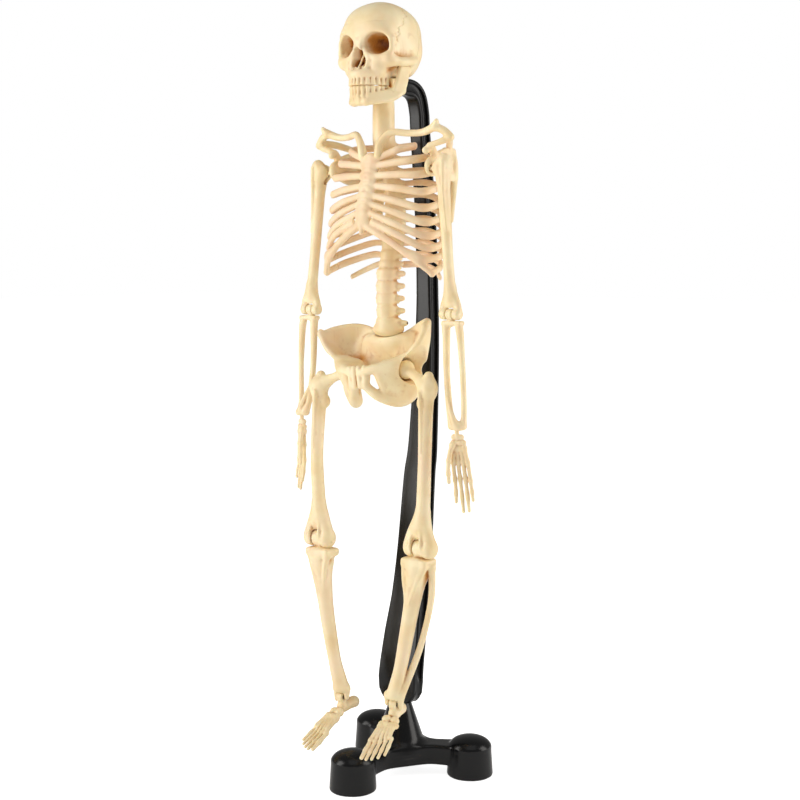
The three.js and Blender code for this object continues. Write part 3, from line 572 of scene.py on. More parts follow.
def face(clay):
    clay.add(ball((0, -18.4, 315.4), (9.4, 8.4, 6.6)), 2)
    for side in (1, -1):
        brow = [(2, -25.0, 328.8), (7.6, -25.0, 329.8), (11.8, -23.4, 328.6), (13.8, -22.0, 325.4)]
        clay.add(bent(mirror(brow, side), (1.3, 1.2), 12), 3.6)
        rim = mirror([(13.8, -22.2, 325.4), (14.3, -22.3, 321.4), (12.9, -23.0, 318.6)], side)
        clay.add(limb(curve(rim, 8), 1.3), 1.4)
        lower = mirror([(12.9, -23.0, 318.6), (8.4, -25.0, 318.2), (3.6, -26.6, 319.8)], side)
        clay.add(bent(lower, (1.3, 1.0)), 1.2)
        clay.add(ball((side * 11.7, -21.4, 317), (3.9, 3.6, 2.8)), 1.8)
        clay.add(ball((side * 6.6, -22.4, 315.0), (4.4, 4.2, 5.0)), 2)
        arch = [(12.8, -20.6, 316.6), (14.6, -16.4, 316.4), (15.1, -11.4, 316.8), (14.0, -6.6, 318)]
        clay.add(bent(mirror(arch, side), (2.0, 1.6), 12), 1.4)
        nasal = mirror([(1.1, -26.0, 328.6), (1.0, -26.4, 325.6), (1.3, -28.0, 321.8)], side)
        clay.add(bent(nasal, (1.7, 1.0)), 1.4)
        wing = mirror([(3.3, -26.4, 321.4), (4.5, -26.0, 317.4), (3.8, -26.7, 313.6)], side)
        clay.add(bent(wing, (1.0, 1.2)), 1.2)
    ridge = [tooth_place(t, 7.4, 9.2, 311.4) for t in np.linspace(-1.7, 1.7, 18)]
    clay.add(limb(ridge, 2.0), 1.2)


def face_openings(clay):
    for side in (1, -1):
        lean = Matrix.Rotation(side * math.radians(7), 3, "Z")
        clay.cut(ball((side * 8.4, -25.6, 323.8), (5.4, 9.4, 4.5), lean), 0.8)
        clay.cut(ball((side * 1.9, -28.6, 315.8), (1.9, 7.4, 2.7)), 0.5)
        clay.cut(ball((side * 18.6, -17.6, 322.6), (3.5, 3.4, 4.2)), 2.6)
    clay.cut(ball((0, -28.6, 318.6), (2.3, 7.0, 3.9)), 0.7)
    clay.add(limb(points((0.2, -28.3, 312.8), (0.2, -26.2, 315.6), (0.2, -23.6, 320.4)), 0.45), 0.3)


def skull_base(clay):
    for side in (1, -1):
        clay.add(limb(mirror([(12.0, -8.0, 316.4), (11.4, -9.2, 312.4)], side), (2.4, 1.3)), 1.4)
    clay.cut(drum((0, -11, 304), 9.2, 8, "z"), 1)
    clay.cut(block((-16, -10.2, 296), (16, 20, 311.8), 0.3), 0.8)
    clay.cut(limb(points((-12, 8, 307.6), (12, 8, 307.6)), 7.4), 2.5)
    clay.cut(drum((0, -11, 306), 2.7, 11, "z"), 0.3)
    clay.add(ball((0, -21.6, 309.4), (6.6, 4.9, 2.5)), 0.6)
    for side in (1, -1):
        clay.cut(ramus_blade(side, 0.38), 0.3)


def ramus_blade(side, spare=0.0):
    """The upright blade at the back of the jaw, or with spare the room that the skull leaves for it."""
    back = mirror([(13.0, -13.8, 304.6), (13.8, -12.7, 308.6), (13.7, -11.2, 314.4)], side)
    front = mirror([(11.9, -17.2, 305.4), (12.6, -16.2, 309.4), (12.9, -14.9, 314.2)], side)
    return sheet([back, front], [[1.3 + spare, 1.1 + spare, 1.0 + spare], [1.2 + spare, 1.0 + spare]], 22, 5)


def suture(clay):
    """The wavy groove over the crown where the forehead meets the side bones."""
    x, y, z = clay.everywhere()
    along = np.arctan2(np.abs(x) + 0 * z, z - 318 + 0 * x)
    wave = 0.7 * np.sin(along * 34) + 0.4 * np.sin(along * 71 + 1)
    middle = np.interp(z, SUTURE_HEIGHTS, SUTURE_PLACES)
    groove = np.minimum(0.3 - np.abs(y - middle - wave), clay.field + 0.36)
    clay.field = np.maximum(clay.field, np.where(z > SUTURE_LOW, groove, -FAR)).astype(np.float32)


def build_skull():
    clay = Clay((-18, -34, 303), (18, 14.5, 343.5), 0.3)
    cranium(clay)
    face(clay)
    face_openings(clay)
    tooth_row(clay, 7.9, 9.7, 307.2, 310.4, 314)
    skull_base(clay)
    clay.cut(block((-20, -40, 300), (20, -12, 306.7), 0.1), 0.15)
    suture(clay)
    whole = clay.field.copy()
    y = clay.everywhere()[1]
    for name, sign in (("skull_front", 1), ("skull_back", -1)):
        clay.field = np.maximum(whole, sign * (y - SEAM_Y) + 0.05)
        bone_piece(name, clay, moved(HUB), "skull", 1)


def build_mandible():
    clay = Clay((-17, -32.5, 296), (17, -7, 317), 0.3)
    low = [(13, -13.8, 304.4), (11.4, -18.2, 301.5), (8, -22.4, 300.4), (4.4, -25.4, 300), (0, -26.4, 300)]
    high = [(11.4, -15.8, 305.6), (9.4, -19.0, 304), (7.0, -23, 303), (4.0, -25.9, 302.6), (0, -27, 302.6)]
    thick = [[1.4, 1.5, 1.7], [1.2, 1.3, 1.5]]
    for side in (1, -1):
        clay.add(sheet([mirror(low, side), mirror(high, side)], thick, 40, 4), 0.8)
        clay.add(ramus_blade(side), 0.8)
        clay.add(ball((side * 3.2, -26.4, 299.8), (2.0, 1.5, 1.5)), 1.2)
    tooth_row(clay, 7.6, 9.3, 305.8, 302.2, 300.0)
    clay.cut(block((-20, -40, 306.45), (20, -18.6, 320), 0.1), 0.15)
    bone_piece("mandible", clay, moved(HUB), "jaw", 1)


# ---- trunk ----
SPINE_LINE = points(
    (0, -11, 296), (0, -10.6, 286), (0, -7.4, 274), (0, -4.6, 262), (0, -4.6, 250),
    (0, -6.6, 238), (0, -8.6, 226), (0, -9, 214), (0, -7.6, 203.6),
)
LUMBAR_HEIGHTS = (226.8, 221.4, 216.0, 210.6, 205.2)
RIB_COUNT, RIB_TOP, RIB_PITCH = 10, 281.8, 5.2


def spine_y(z):
    heights = [p[2] for p in SPINE_LINE][::-1]
    return float(np.interp(z, heights, [p[1] for p in SPINE_LINE][::-1]))


def vertebra(clay, z, radius, half, reach):
    y = spine_y(z)
    clay.add(drum((0, y, z), radius, half, "z", 0.9), 1.0)
    for side in (1, -1):
        spike = mirror([(2.6, y + 1.2, z), (reach, y + 2.2, z + 0.2)], side)
        clay.add(limb(spike, (1.9, 1.25)), 1.0)
    clay.add(limb(points((0, y + 3, z), (0, y + 7.6, z - 1.6)), (1.5, 0.9)), 0.8)


def build_spine():
    clay = Clay((-9, -17.5, 195.5), (9, 8, 317.5), 0.35)
    neck = curve(points((0, -10.6, 280.5), (0, -11, 288), (0, -11, 298), (0, -11, 303.6)), 12)
    core = np.interp(np.arange(40), (0, 18, 39), (3.4, 3.4, 4.3))
    clay.add(limb(curve(SPINE_LINE[1:], 40), core), 0.8)
    for i in range(RIB_COUNT):
        vertebra(clay, RIB_TOP - i * RIB_PITCH, 3.8, 2.1, 4.8)
    vertebra(clay, 231, 4.1, 1.6, 5.4)
    for z in LUMBAR_HEIGHTS[:-1]:
        vertebra(clay, z, 4.8, 2.35, 7.0)
    vertebra(clay, LUMBAR_HEIGHTS[-1], 5.6, 2.4, 8.0)
    clay.add(limb(neck, (4.3, 4.75, 4.85, 4.85, 4.8, 4.8, 4.8, 4.75, 4.7, 4.6, 4.6, 4.5)), 1.5)
    clay.add(ball((0, -7.9, 202.6), (7.4, 6.4, 3.6)), 1.4)
    clay.add(limb(points((0, -11, 303), (0, -11, 315.4)), 2.3), 0.4)
    clay.add(block((-3.3, -9, 304.9), (3.3, -2.9, 311.3), 0.7), 0.6)
    clay.add(limb(points((0, WAIST.y - HUB.y, 204), (0, WAIST.y - HUB.y, 197)), 1.5), 0.3)
    bone_piece("spine", clay, moved(HUB), "stand")


# for each rib from the top: its reach sideways, its lowest side height, and where it ends in front
RIB_WIDE = (15, 22, 25.4, 27, 27.6, 28.4, 29.2, 29.8, 30, 29.6)
RIB_SIDE = (281, 276, 269.8, 262.6, 255.8, 249.8, 244, 239, 234.2, 229.4)
RIB_END = (
    (3.6, -19.8, 276.2), (3.6, -20.2, 273.2), (3.6, -20.9, 269), (3.6, -21.6, 264.6), (3.6, -22.6, 260.4),
    (4.0, -23.6, 256.6), (4.6, -24.6, 252.8), (5.6, -25, 249.2), (20.4, -21.8, 236.8), (30.2, -15, 227.4),
)
RIB_SEAM_Y = -9  # where the front and back mouldings of the rib cage meet
FLOATING_RIB = points((4.8, -3.4, 231), (12, -0.4, 231), (20, 0, 228.6), (25.4, -3.4, 225.4))
COSTAL_ARCH = [
    (0.5, -25, 248.4), (7, -24.8, 245), (14, -23.6, 241), (20.4, -21.8, 236.6), (26, -19, 232),
    (30.4, -15, 227.4),
]
STERNUM = points((0, -19.4, 274.4), (0, -20.4, 270), (0, -21.9, 263), (0, -23.6, 255.6), (0, -25, 249.4))


def rib_line(i):
    """One rib of the +X side, from beside the spine round to its front end."""
    z = RIB_TOP - i * RIB_PITCH
    back, wide, low = spine_y(z), RIB_WIDE[i], RIB_SIDE[i]
    start = [(4.8, back + 2.6, z), (2 + wide * 0.42, back + 5.4, z + 0.3)]
    start += [(wide * 0.84, back + 3, (z + low) / 2 + 0.4)]
    flank = [(wide, -8.5, low + 0.6)]
    if i < RIB_COUNT - 1:
        x, y, end = RIB_END[i]
        flank += [(wide * 0.93, -16.4, low - 0.9)]
        flank += [(wide * 0.5 + x * 0.5, y * 0.93, low * 0.5 + end * 0.5 - 0.3)]
    return start + flank + [RIB_END[i]]


def build_rib_cage():
    clay = Clay((-34.5, -30.5, 221), (34.5, 7.5, 286), 0.36)
    tall = ((0, 0, 1), 0.72)
    stops, thick = (0, 0.2, 0.6, 0.85, 1), (0.9, 1.1, 1.25, 1.2, 1.05)
    for i in range(RIB_COUNT):
        for side in (1, -1):
            clay.add(bent(mirror(rib_line(i), side), thick, 30, stops, tall), 0.7)
    for side in (1, -1):
        clay.add(bent(mirror(COSTAL_ARCH, side), (1.7, 1.3), 20), 1.2)
        clay.add(bent(mirror(FLOATING_RIB, side), (1.1, 0.9), 14, squeeze=tall), 0.7)
    breast = np.interp(np.arange(12), (0, 3, 11), (4.6, 4.2, 4.0))
    clay.add(limb(curve(STERNUM, 12), breast, ((0, 1, 0.2), 2.2)), 1)
    clay.add(limb(points((0, -25, 249), (0, -25.8, 244.4)), (1.7, 1.0)), 0.8)
    for a, b in zip(RIB_END[:5], RIB_END[1:6]):
        place = (np.array(a) + np.array(b)) / 2
        clay.cut(limb([place * (-1, 1, 1) + (0, -2.3, 0), place + (0, -2.3, 0)], 0.4), 0.3)
    whole = clay.field.copy()
    split = clay.everywhere()[1] - RIB_SEAM_Y
    column = clay.emptied()
    column.add(limb(curve(SPINE_LINE[1:], 40), 4.6), 0.3)
    column.add(limb(points((0, -11, 276), (0, -11, 300)), 5.3), 0.3)
    clay.field = np.maximum(whole, split + 0.06)
    bone_piece("rib_cage_front", clay, moved(HUB), "stand", ribs=True)
    clay.field = np.maximum(np.maximum(whole, 0.06 - split), -column.field)
    bone_piece("rib_cage_back", clay, moved(HUB), "stand", ribs=True)


def build_girdle(name, side):
    clay = sided_clay(side, (2.5, -23, 246), (41, 14, 294), 0.35)
    collar = [
        (4.5, -19.6, 277.8), (5.4, -19.8, 282.4), (9.8, -17.8, 287), (17, -14.8, 286.6), (24, -13.2, 286.8),
        (30.6, -13.6, 288.8),
    ]
    clay.add(bent(mirror(collar, side), (2.1, 1.5, 1.45, 1.75), 24, (0, 0.3, 0.7, 1)), 0.5)
    clay.add(limb(mirror([(30.6, -14, 288.6), (32.3, -14.8, 290.8)], side), (1.7, 1.1)), 0.9)
    acromion = [(31, -13.8, 288.6), (34.8, -12.6, 286.8), (37.4, -11.8, 284.2)]
    clay.add(limb(curve(mirror(acromion, side), 8), 1.65), 0.9)
    under = [(37.0, -11.9, 283.8), (33, -13.6, 282.2), (28.4, -14.4, 281)]
    clay.add(limb(mirror(under, side), (1.6, 1.3, 1.3)), 0.9)
    crest = [(35.8, -11.2, 284.6), (32, -5.6, 284), (26, 1.8, 281), (18.5, 8.2, 277)]
    clay.add(bent(mirror(crest, side), (1.8, 1.2), 14), 0.9)
    inner = mirror([(17.4, 9.4, 281), (18.6, 10.4, 266), (20.6, 10.4, 250)], side)
    middle_rail = mirror([(22, 6.9, 280.6), (23.4, 7.2, 267), (21, 9.9, 250.2)], side)
    outer = mirror([(27, 3.4, 279.4), (28.4, 3.2, 270), (21.4, 9.4, 250.4)], side)
    thick = [[1.0, 0.9, 1.0], [0.6, 0.6, 0.9], [1.2, 1.3, 1.1]]
    clay.add(sheet([inner, middle_rail, outer], thick, 44, 7), 0.8)
    neck = [(26.6, 4, 275), (27.2, -3, 274), (27.9, -9.4, 272.8)]
    clay.add(limb(curve(mirror(neck, side), 8), (1.7, 1.7, 1.8, 1.8, 1.9, 2.0, 2.1, 2.2)), 1)
    clay.add(ball((side * 27.4, -11.8, 272.4), (2.4, 3.9, 4.3)), 1)
    top = mirror([(26.6, 4.2, 279.6), (27.4, -2, 279.8), (27.6, -8.6, 277.4)], side)
    bottom = mirror([(27.8, 3.6, 268), (27.8, -2.6, 267.6), (27.8, -8.6, 269.4)], side)
    clay.add(sheet([top, bottom], [[0.9, 0.9, 1.4], [1.2, 1.3, 1.5]], 24, 9), 0.8)
    coracoid = [(27.4, -9, 275.6), (27.6, -12.4, 280), (26.8, -15, 279)]
    clay.add(bent(mirror(coracoid, side), (1.8, 1.6)), 0.9)
    hub = pivot("shoulder_swing_" + name) - HUB
    clay.cut(drum((side * 30.4, hub.y, hub.z), 1.6, 4.1, "x", 0.2), 0.2)
    clay.cut(ball(hub, (5.2, 5.2, 5.3)), 0.3)
    node = "shoulder_girdle_" + name
    bone_piece(node, clay, moved(HUB), "stand")


# ---- arms ----
PEG_SLOT_HALF = 1.25  # the slots in shoulder and hip balls that take the pegs' discs
PEG_SLOT_REACH = 6  # past the side of either ball
ELBOW_HOLE, KNEE_HOLE, ANKLE_HOLE = 1.0, 1.45, 1.0  # radii of the holes for the pins
ELBOW_FORK, KNEE_FORK, ANKLE_FORK = 1.85, 2.55, 1.95  # half the gap between a fork's cheeks


def peg(name, joint, disc, rod, reach, side):
    """The slim part of a shoulder or a hip: a disc in the limb's ball, on a rod into the trunk."""
    clay = sided_clay(side, (-reach - 1, -disc - 1, -disc - 1), (disc + 1,) * 3, 0.25)
    clay.add(drum((0, 0, 0), disc, 1, "y", 0.25), 0.2)
    clay.add(limb(mirror([(0, 0, 0), (-reach + rod, 0, 0)], side), rod), 0.3)
    bone_piece(name, clay, moved(pivot(joint)), name)


def cut_peg_slot(clay, side, half_height, disc):
    """The slot in a limb's ball for the disc and the rod of its peg."""
    inner = sorted((0, side * -PEG_SLOT_REACH))
    low = (inner[0] - 0.05, -PEG_SLOT_HALF, -half_height)
    high = (inner[1] + 0.05, PEG_SLOT_HALF, half_height)
    clay.cut(block(low, high, 0.1), 0.15)
    clay.cut(drum((0, 0, 0), disc, PEG_SLOT_HALF, "y", 0.1), 0.15)


def build_upper_arm(name, side):
    elbow = pivot("elbow_" + name) - pivot("shoulder_swing_" + name)
    ex, ey, ez = elbow.x * side, elbow.y, elbow.z
    clay = sided_clay(side, (-5.5, -7, -65.5), (12.5, 6, 8), 0.33)
    clay.add(ball((0, 0, 0), (4.1, 4.1, 4.2)), 0.5)
    clay.add(ball((side * 2.1, -0.8, 2.3), (2.9, 3.1, 3.8)), 1.2)
    shaft = [(1.2, -0.6, -3), (2.0, -0.7, -12), (4, -1, -34), (5.7, -1.4, -50), (6.2, -1.5, -56)]
    clay.add(bent(mirror(shaft, side), (3.3, 2.7, 2.2, 2.5, 2.8), 24, (0, 0.2, 0.55, 0.85, 1)), 1.2)
    ridge = mirror([(3.0, -3.2, 2), (3.4, -3.2, -12), (4.8, -2.6, -26)], side)
    clay.add(bent(ridge, (1.1, 0.4)), 0.8)
    clay.cut(limb(mirror([(1.4, -4.5, 5), (1.8, -4.1, -10)], side), 0.7), 0.7)
    for out in (1, -1):
        spread = [(6.0, -1.4, -50), (ex + out * 3.4, ey, ez + 4.4), (ex + out * 4.3, ey, ez + 1.2)]
        clay.add(bent(mirror(spread, side), (1.8, 1.3)), 1.6)
    clay.add(drum(elbow, 2.4, 5.3, "x", 1.2), 0.9)
    clay.cut(ball((elbow.x, ey - 3.6, ez + 2.8), (4.6, 1.6, 2.4)), 0.8)
    clay.cut(drum(elbow, 2.75, ELBOW_FORK, "x", 0.1), 0.2)
    low, high = (elbow.x - ELBOW_FORK, ey - 6, ez - 6), (elbow.x + ELBOW_FORK, ey + 1.9, ez + 1.9)
    clay.cut(block(low, high, 0.2), 0.25)
    clay.cut(drum(elbow, ELBOW_HOLE, 4.75, "x", 0.1), 0.1)
    cut_peg_slot(clay, side, 5, 3.2)
    node = "upper_arm_" + name
    bone_piece(node, clay, moved(pivot("shoulder_swing_" + name)), node)


def build_forearm(name, side):
    wrist = pivot("wrist_turn_" + name) - pivot("elbow_" + name)
    wx, wy, wz = wrist.x * side, wrist.y, wrist.z
    clay = sided_clay(side, (-6.5, -6.5, -51.5), (11, 4.5, 4.5), 0.3)
    clay.add(drum((0, 0, 0), 2.3, 1.55, "x", 0.4), 0.3)
    clay.add(limb(points((0, 0, -1.6), (0, 0, -4)), (1.3, 1.5)), 0.6)
    ends = sorted((side * -4.0, side * 6.2))
    clay.add(block((ends[0], -1.9, -4.7), (ends[1], 1.9, -2.75), 0.7), 0.8)
    ulna = [(-2.2, -0.4, -5), (-2.0, -0.4, -10), (-1.6, -0.5, -25), (0.3, -1, -40), (wx - 2.4, wy, wz + 2.6)]
    clay.add(bent(mirror(ulna, side), (1.9, 1.8, 1.35, 1.5, 2.0), 24, (0, 0.15, 0.5, 0.85, 1)), 0.7)
    radius = [(4.6, -0.3, -5), (5.4, -0.3, -10), (6.5, 0, -25), (6.9, 0.4, -40)]
    radius += [(wx + 2.2, wy + 1.4, wz + 2.6)]
    clay.add(bent(mirror(radius, side), (1.7, 1.7, 1.25, 1.25, 1.7), 24, (0, 0.15, 0.5, 0.85, 1)), 0.7)
    slant = mirror([(0.2, -1.8, -36), (wx - 1.4, wy - 1.2, -43), (wx + 0.8, wy - 0.4, wz + 2.2)], side)
    clay.add(bent(slant, (0.8, 1.6)), 0.6)
    clay.add(ball((wrist.x, wy, wz + 2.4), (3.2, 2.2, 2.4)), 0.8)
    clay.cut(drum((wrist.x, wy, wz + 1.5), 1.3, 2.6, "z", 0.1), 0.15)
    clay.cut(block((-12, -8, wz - 4), (12, 6, wz + 0.9), 0.1), 0.4)
    clay.cut(drum((0, 0, 0), ELBOW_HOLE, 4, "x", 0.1), 0.1)
    node = "forearm_" + name
    bone_piece(node, clay, moved(pivot("elbow_" + name)), node)


def finger(clay, rows, joints, thick, side):
    """A finger or toe: slim shafts between swollen knuckles at the given fractions of its length."""
    line = curve(mirror(rows, side), 28)
    along = np.linspace(0, 1, 28)
    waist = np.ones(28)
    for j in joints:
        waist += 0.32 * np.exp(-(((along - j) / 0.045) ** 2))
    taper = np.interp(along, (0, 0.4, 1), (1.1, 0.92, 0.72))
    clay.add(limb(line, thick * taper * waist), 0.25)


def leaned(rows):
    """Hand rows that lean outward and back as they run down from the wrist."""
    return [(0.74 * x - 0.13 * z, y - 0.06 * z, z) for x, y, z in rows]


def build_hand(name, side):
    clay = Clay((-11, -7, -40), (11, 5.5, 4.2), 0.26)
    clay.add(limb(points((0, 0, -1), (0, 0, 3.4)), 0.95), 0.3)
    rng = np.random.default_rng(7)
    for z, count in ((-2.0, 3), (-4.3, 4), (-6.2, 4)):
        for i in range(count):
            x = (i - (count - 1) / 2) * 2.0
            size = 1.2 + 0.25 * rng.random()
            place = leaned([(x, 0.3 * rng.random(), z)])
            clay.add(ball(mirror(place, side)[0], (size, 1.35, size)), 0.35)
    tips = ((-3.5, -5.4, -29.5), (-1.2, -1.9, -33.6), (1.2, 1.5, -33.2), (3.4, 4.6, -28.5))
    for x, tip_x, tip_z in tips:
        palm = [(x * 0.85, 0, -6.6), (x, 0, -9.6), ((x + tip_x) * 0.52, -0.3, -15)]
        palm += [((x + tip_x) * 0.54, -0.5, -22), (tip_x, -1.6, tip_z)]
        finger(clay, leaned(palm), (0.04, 0.4, 0.68, 0.87), 0.98, side)
    thumb = [(-3.0, -0.5, -4.8), (-5.2, -1.8, -9), (-7.0, -2.8, -15), (-7.6, -3.2, -21)]
    finger(clay, leaned(thumb), (0.05, 0.5, 0.8), 1.1, side)
    place = moved(pivot("wrist_turn_" + name), Matrix.Rotation(side * HAND_TURN, 4, "Z"))
    node = "hand_" + name
    bone_piece(node, clay, place, node, 1)


# ---- pelvis and legs ----
HIP_BALL = 4.2
HIP_AT = (16.5, -8.5, -16.4)  # from the waist, in the tilted pelvis


def ilium(clay, side):
    crest = [(5.5, 3.6, -3.4), (13, 5.2, 1.4), (20.5, 2.8, 3.6), (26.8, -4, 2.8), (29.8, -10.2, 0.6)]
    wing = [(6, 2.6, -8), (13.4, 3.8, -5.6), (20.6, 1.8, -4.6), (26.2, -4, -4.4), (27.4, -10.8, -4)]
    line = [(8, 0.6, -12), (13.4, 0, -12.8), (19, -1, -12.6), (22.6, -4, -11.8), (21, -11, -11.2)]
    rails = [mirror(rows, side) for rows in (crest, wing, line)]
    clay.add(sheet(rails, [[1.3, 1.5, 1.7], [1.5, 0.9, 1.3], [2.0, 1.8, 2.2]], 60, 11), 4)
    clay.add(ball((side * 30.2, -10.4, 1.6), (1.5, 1.6, 2.0)), 0.8)
    clay.add(ball((side * 11.6, -15.6, -14.2), (3.4, 2.6, 2.2)), 1.5)


def ischium(clay, side):
    """The front and lower parts of one hip bone, round the small hole in front of the socket."""
    pubis = mirror([(19, -11, -12.6), (13, -16.4, -14.8), (8, -19.4, -15.2), (2.4, -21, -16.6)], side)
    clay.add(bent(pubis, (2.6, 1.9), 14), 1.5)
    for x, y in ((1.4, -21.6), (4.2, -21.0)):
        clay.add(limb(mirror([(x, y, -14.6), (x, y + 0.2, -22.4)], side), (1.35, 1.2)), 0.35)
    clay.add(ball((side * 2.4, -19.9, -18.6), (3.6, 1.7, 4.4)), 0.8)
    loop = [(2.6, -20.4, -21.6), (7.2, -16.4, -27), (12.4, -9.4, -29.6), (16.6, -6, -26.4), (18.4, -5.6, -20)]
    clay.add(bent(mirror(loop, side), (1.8, 2.4, 3.3, 4.2), 18, (0, 0.3, 0.6, 1)), 1.2)
    upper = mirror([(9.4, -17.2, -17.8), (13, -14, -17.6), (17.4, -9.6, -17)], side)
    lower = mirror([(9.4, -13.6, -26.6), (13, -10.4, -27), (16.6, -7, -25)], side)
    clay.add(sheet([upper, lower], [[2.6, 2.5, 2.4], [2.0, 2.4, 3.0]], 20, 8), 1.3)


def build_pelvis():
    clay = Clay((-36, -25.5, -35.5), (36, 12.5, 8), 0.36)
    edge = [(10.4, 0.6, -3.6), (9.4, 2.2, -11), (5.4, 5.8, -19), (1.6, 8.4, -26)]
    half = [(5.4, -0.6, -3.0), (5.0, 2.2, -11), (3.0, 6.2, -19), (0.8, 8.8, -26.4)]
    front = [(0, -1.0, -2.6), (0, 2.4, -11), (0, 6.6, -19), (0, 9, -26.4)]
    rails = [mirror(edge, -1), mirror(half, -1), front, half, edge]
    thick = [[2.4, 1.7, 1.1], [2.8, 1.8, 1.1], [3.0, 1.8, 1.1], [2.8, 1.8, 1.1], [2.4, 1.7, 1.1]]
    clay.add(sheet(rails, thick, 34, 13), 1)
    clay.add(ball((0, 1.6, -4.8), (9.6, 5.8, 4.2)), 3)
    clay.add(ball((0, 2.6, -9.6), (11, 3.6, 5.2)), 4)
    for side in (1, -1):
        ilium(clay, side)
        clay.add(ball((side * 19.0, -8, -15.2), (4.9, 6.4, 6.4)), 2)
        ischium(clay, side)
    for side in (1, -1):
        clay.add(ball((side * 12.4, 2.8, -7.6), (6, 2.8, 6)), 4)
        clay.add(ball((side * 12.8, -8.6, -16.6), (4.8, 6.6, 6.2)), 4)
    for side in (1, -1):
        hip = np.array((side * HIP_AT[0], HIP_AT[1], HIP_AT[2]))
        clay.cut(ball(hip + (side * 0.6, -0.3, 0), (5.1, 5.1, 5.1)), 0.3)
        mouth = [hip, hip + (side * 14, -1.5, 0)]
        clay.cut(limb(mouth, (HIP_BALL + 0.5, 11.5)), 0.4)
        clay.cut(drum(hip - (side * 3.6, 0, 0), 1.5, 3.4, "x", 0.1), 0.2)
    shift = HIP_AT[2] * math.sin(PELVIS_TILT)
    clay.cut(ball((-shift, 0, 1.4), (8.1, 7.1, 4.0)), 0.3)
    clay.cut(drum((-shift, 0, -2), 2.5, 4.4, "z", 0.2), 0.3)
    place = moved(WAIST + Vector((shift, 0, 0)), Matrix.Rotation(-PELVIS_TILT, 4, "Y"))
    bone_piece("pelvis", clay, place, "pelvis")


def build_thigh(name, side):
    knee = pivot("knee_" + name) - pivot("hip_swing_" + name)
    kx, ky, kz = knee.x * side, knee.y, knee.z
    clay = sided_clay(side, (-5.5, -14.5, -83), (23.5, 4.5, 5.5), 0.36)
    clay.add(ball((0, 0, 0), (HIP_BALL,) * 3), 0.3)
    neck = mirror([(2.4, -0.5, -0.6), (8, -1.6, -3.0), (13, -2.8, -5.6)], side)
    clay.add(limb(curve(neck, 8), (2.6, 2.3, 2.1, 2.1, 2.3, 2.7, 3.1, 3.5)), 0.8)
    clay.add(ball((side * 15.8, -3.2, -7.0), (3.5, 3.8, 4.6)), 1.2)
    clay.add(limb(mirror([(15.6, -2.8, -5.4), (14.8, -2.3, -2.0)], side), (2.8, 2.1)), 1.2)
    clay.add(ball((side * 11.2, -2.8, -13.6), (1.8, 2.2, 2.8)), 2.2)
    shaft = [(14.8, -3.2, -8), (14.5, -3.8, -16), (14.9, -5.0, -38), (14.0, -4.9, -58), (kx, ky, kz + 8)]
    clay.add(bent(mirror(shaft, side), (4.0, 3.3, 2.85, 3.1, 4.3), 30, (0, 0.14, 0.5, 0.8, 1)), 1.6)
    ridge = mirror([(13.8, -7.4, -9), (14.2, -7.2, -18), (14.8, -7.8, -34)], side)
    clay.add(bent(ridge, (0.9, 0.4)), 0.9)
    for out in (1, -1):
        flare = [(14.0, -5.0, -60), (kx + out * 3.4, ky - 0.4, kz + 7), (kx + out * 5.0, ky - 0.4, kz + 2.2)]
        clay.add(bent(mirror(flare, side), (2.6, 3.1)), 1.6)
        clay.add(ball((knee.x + out * 4.7, ky - 0.2, kz), (3.5, 4.1, 3.9)), 1.0)
        lip = [(kx + out * 3.0, ky - 3.4, kz - 1.6), (kx + out * 3.0, ky - 4.2, kz + 2)]
        lip += [(kx + out * 2.2, ky - 3.0, kz + 8)]
        clay.add(bent(mirror(lip, side), (0.9, 0.6)), 0.9)
    clay.add(drum((knee.x, ky, kz), 3.9, 7.0, "x", 1.5), 1)
    clay.cut(drum(knee, 4.1, KNEE_FORK, "x", 0.1), 0.2)
    low, high = (knee.x - KNEE_FORK, ky - 1.9, kz - 9), (knee.x + KNEE_FORK, ky + 9, kz + 3.2)
    clay.cut(block(low, high, 0.3), 0.3)
    clay.cut(drum(knee, KNEE_HOLE, 7.6, "x", 0.1), 0.1)
    cut_peg_slot(clay, side, 6, 3.35)
    node = "thigh_" + name
    bone_piece(node, clay, moved(pivot("hip_swing_" + name)), node)


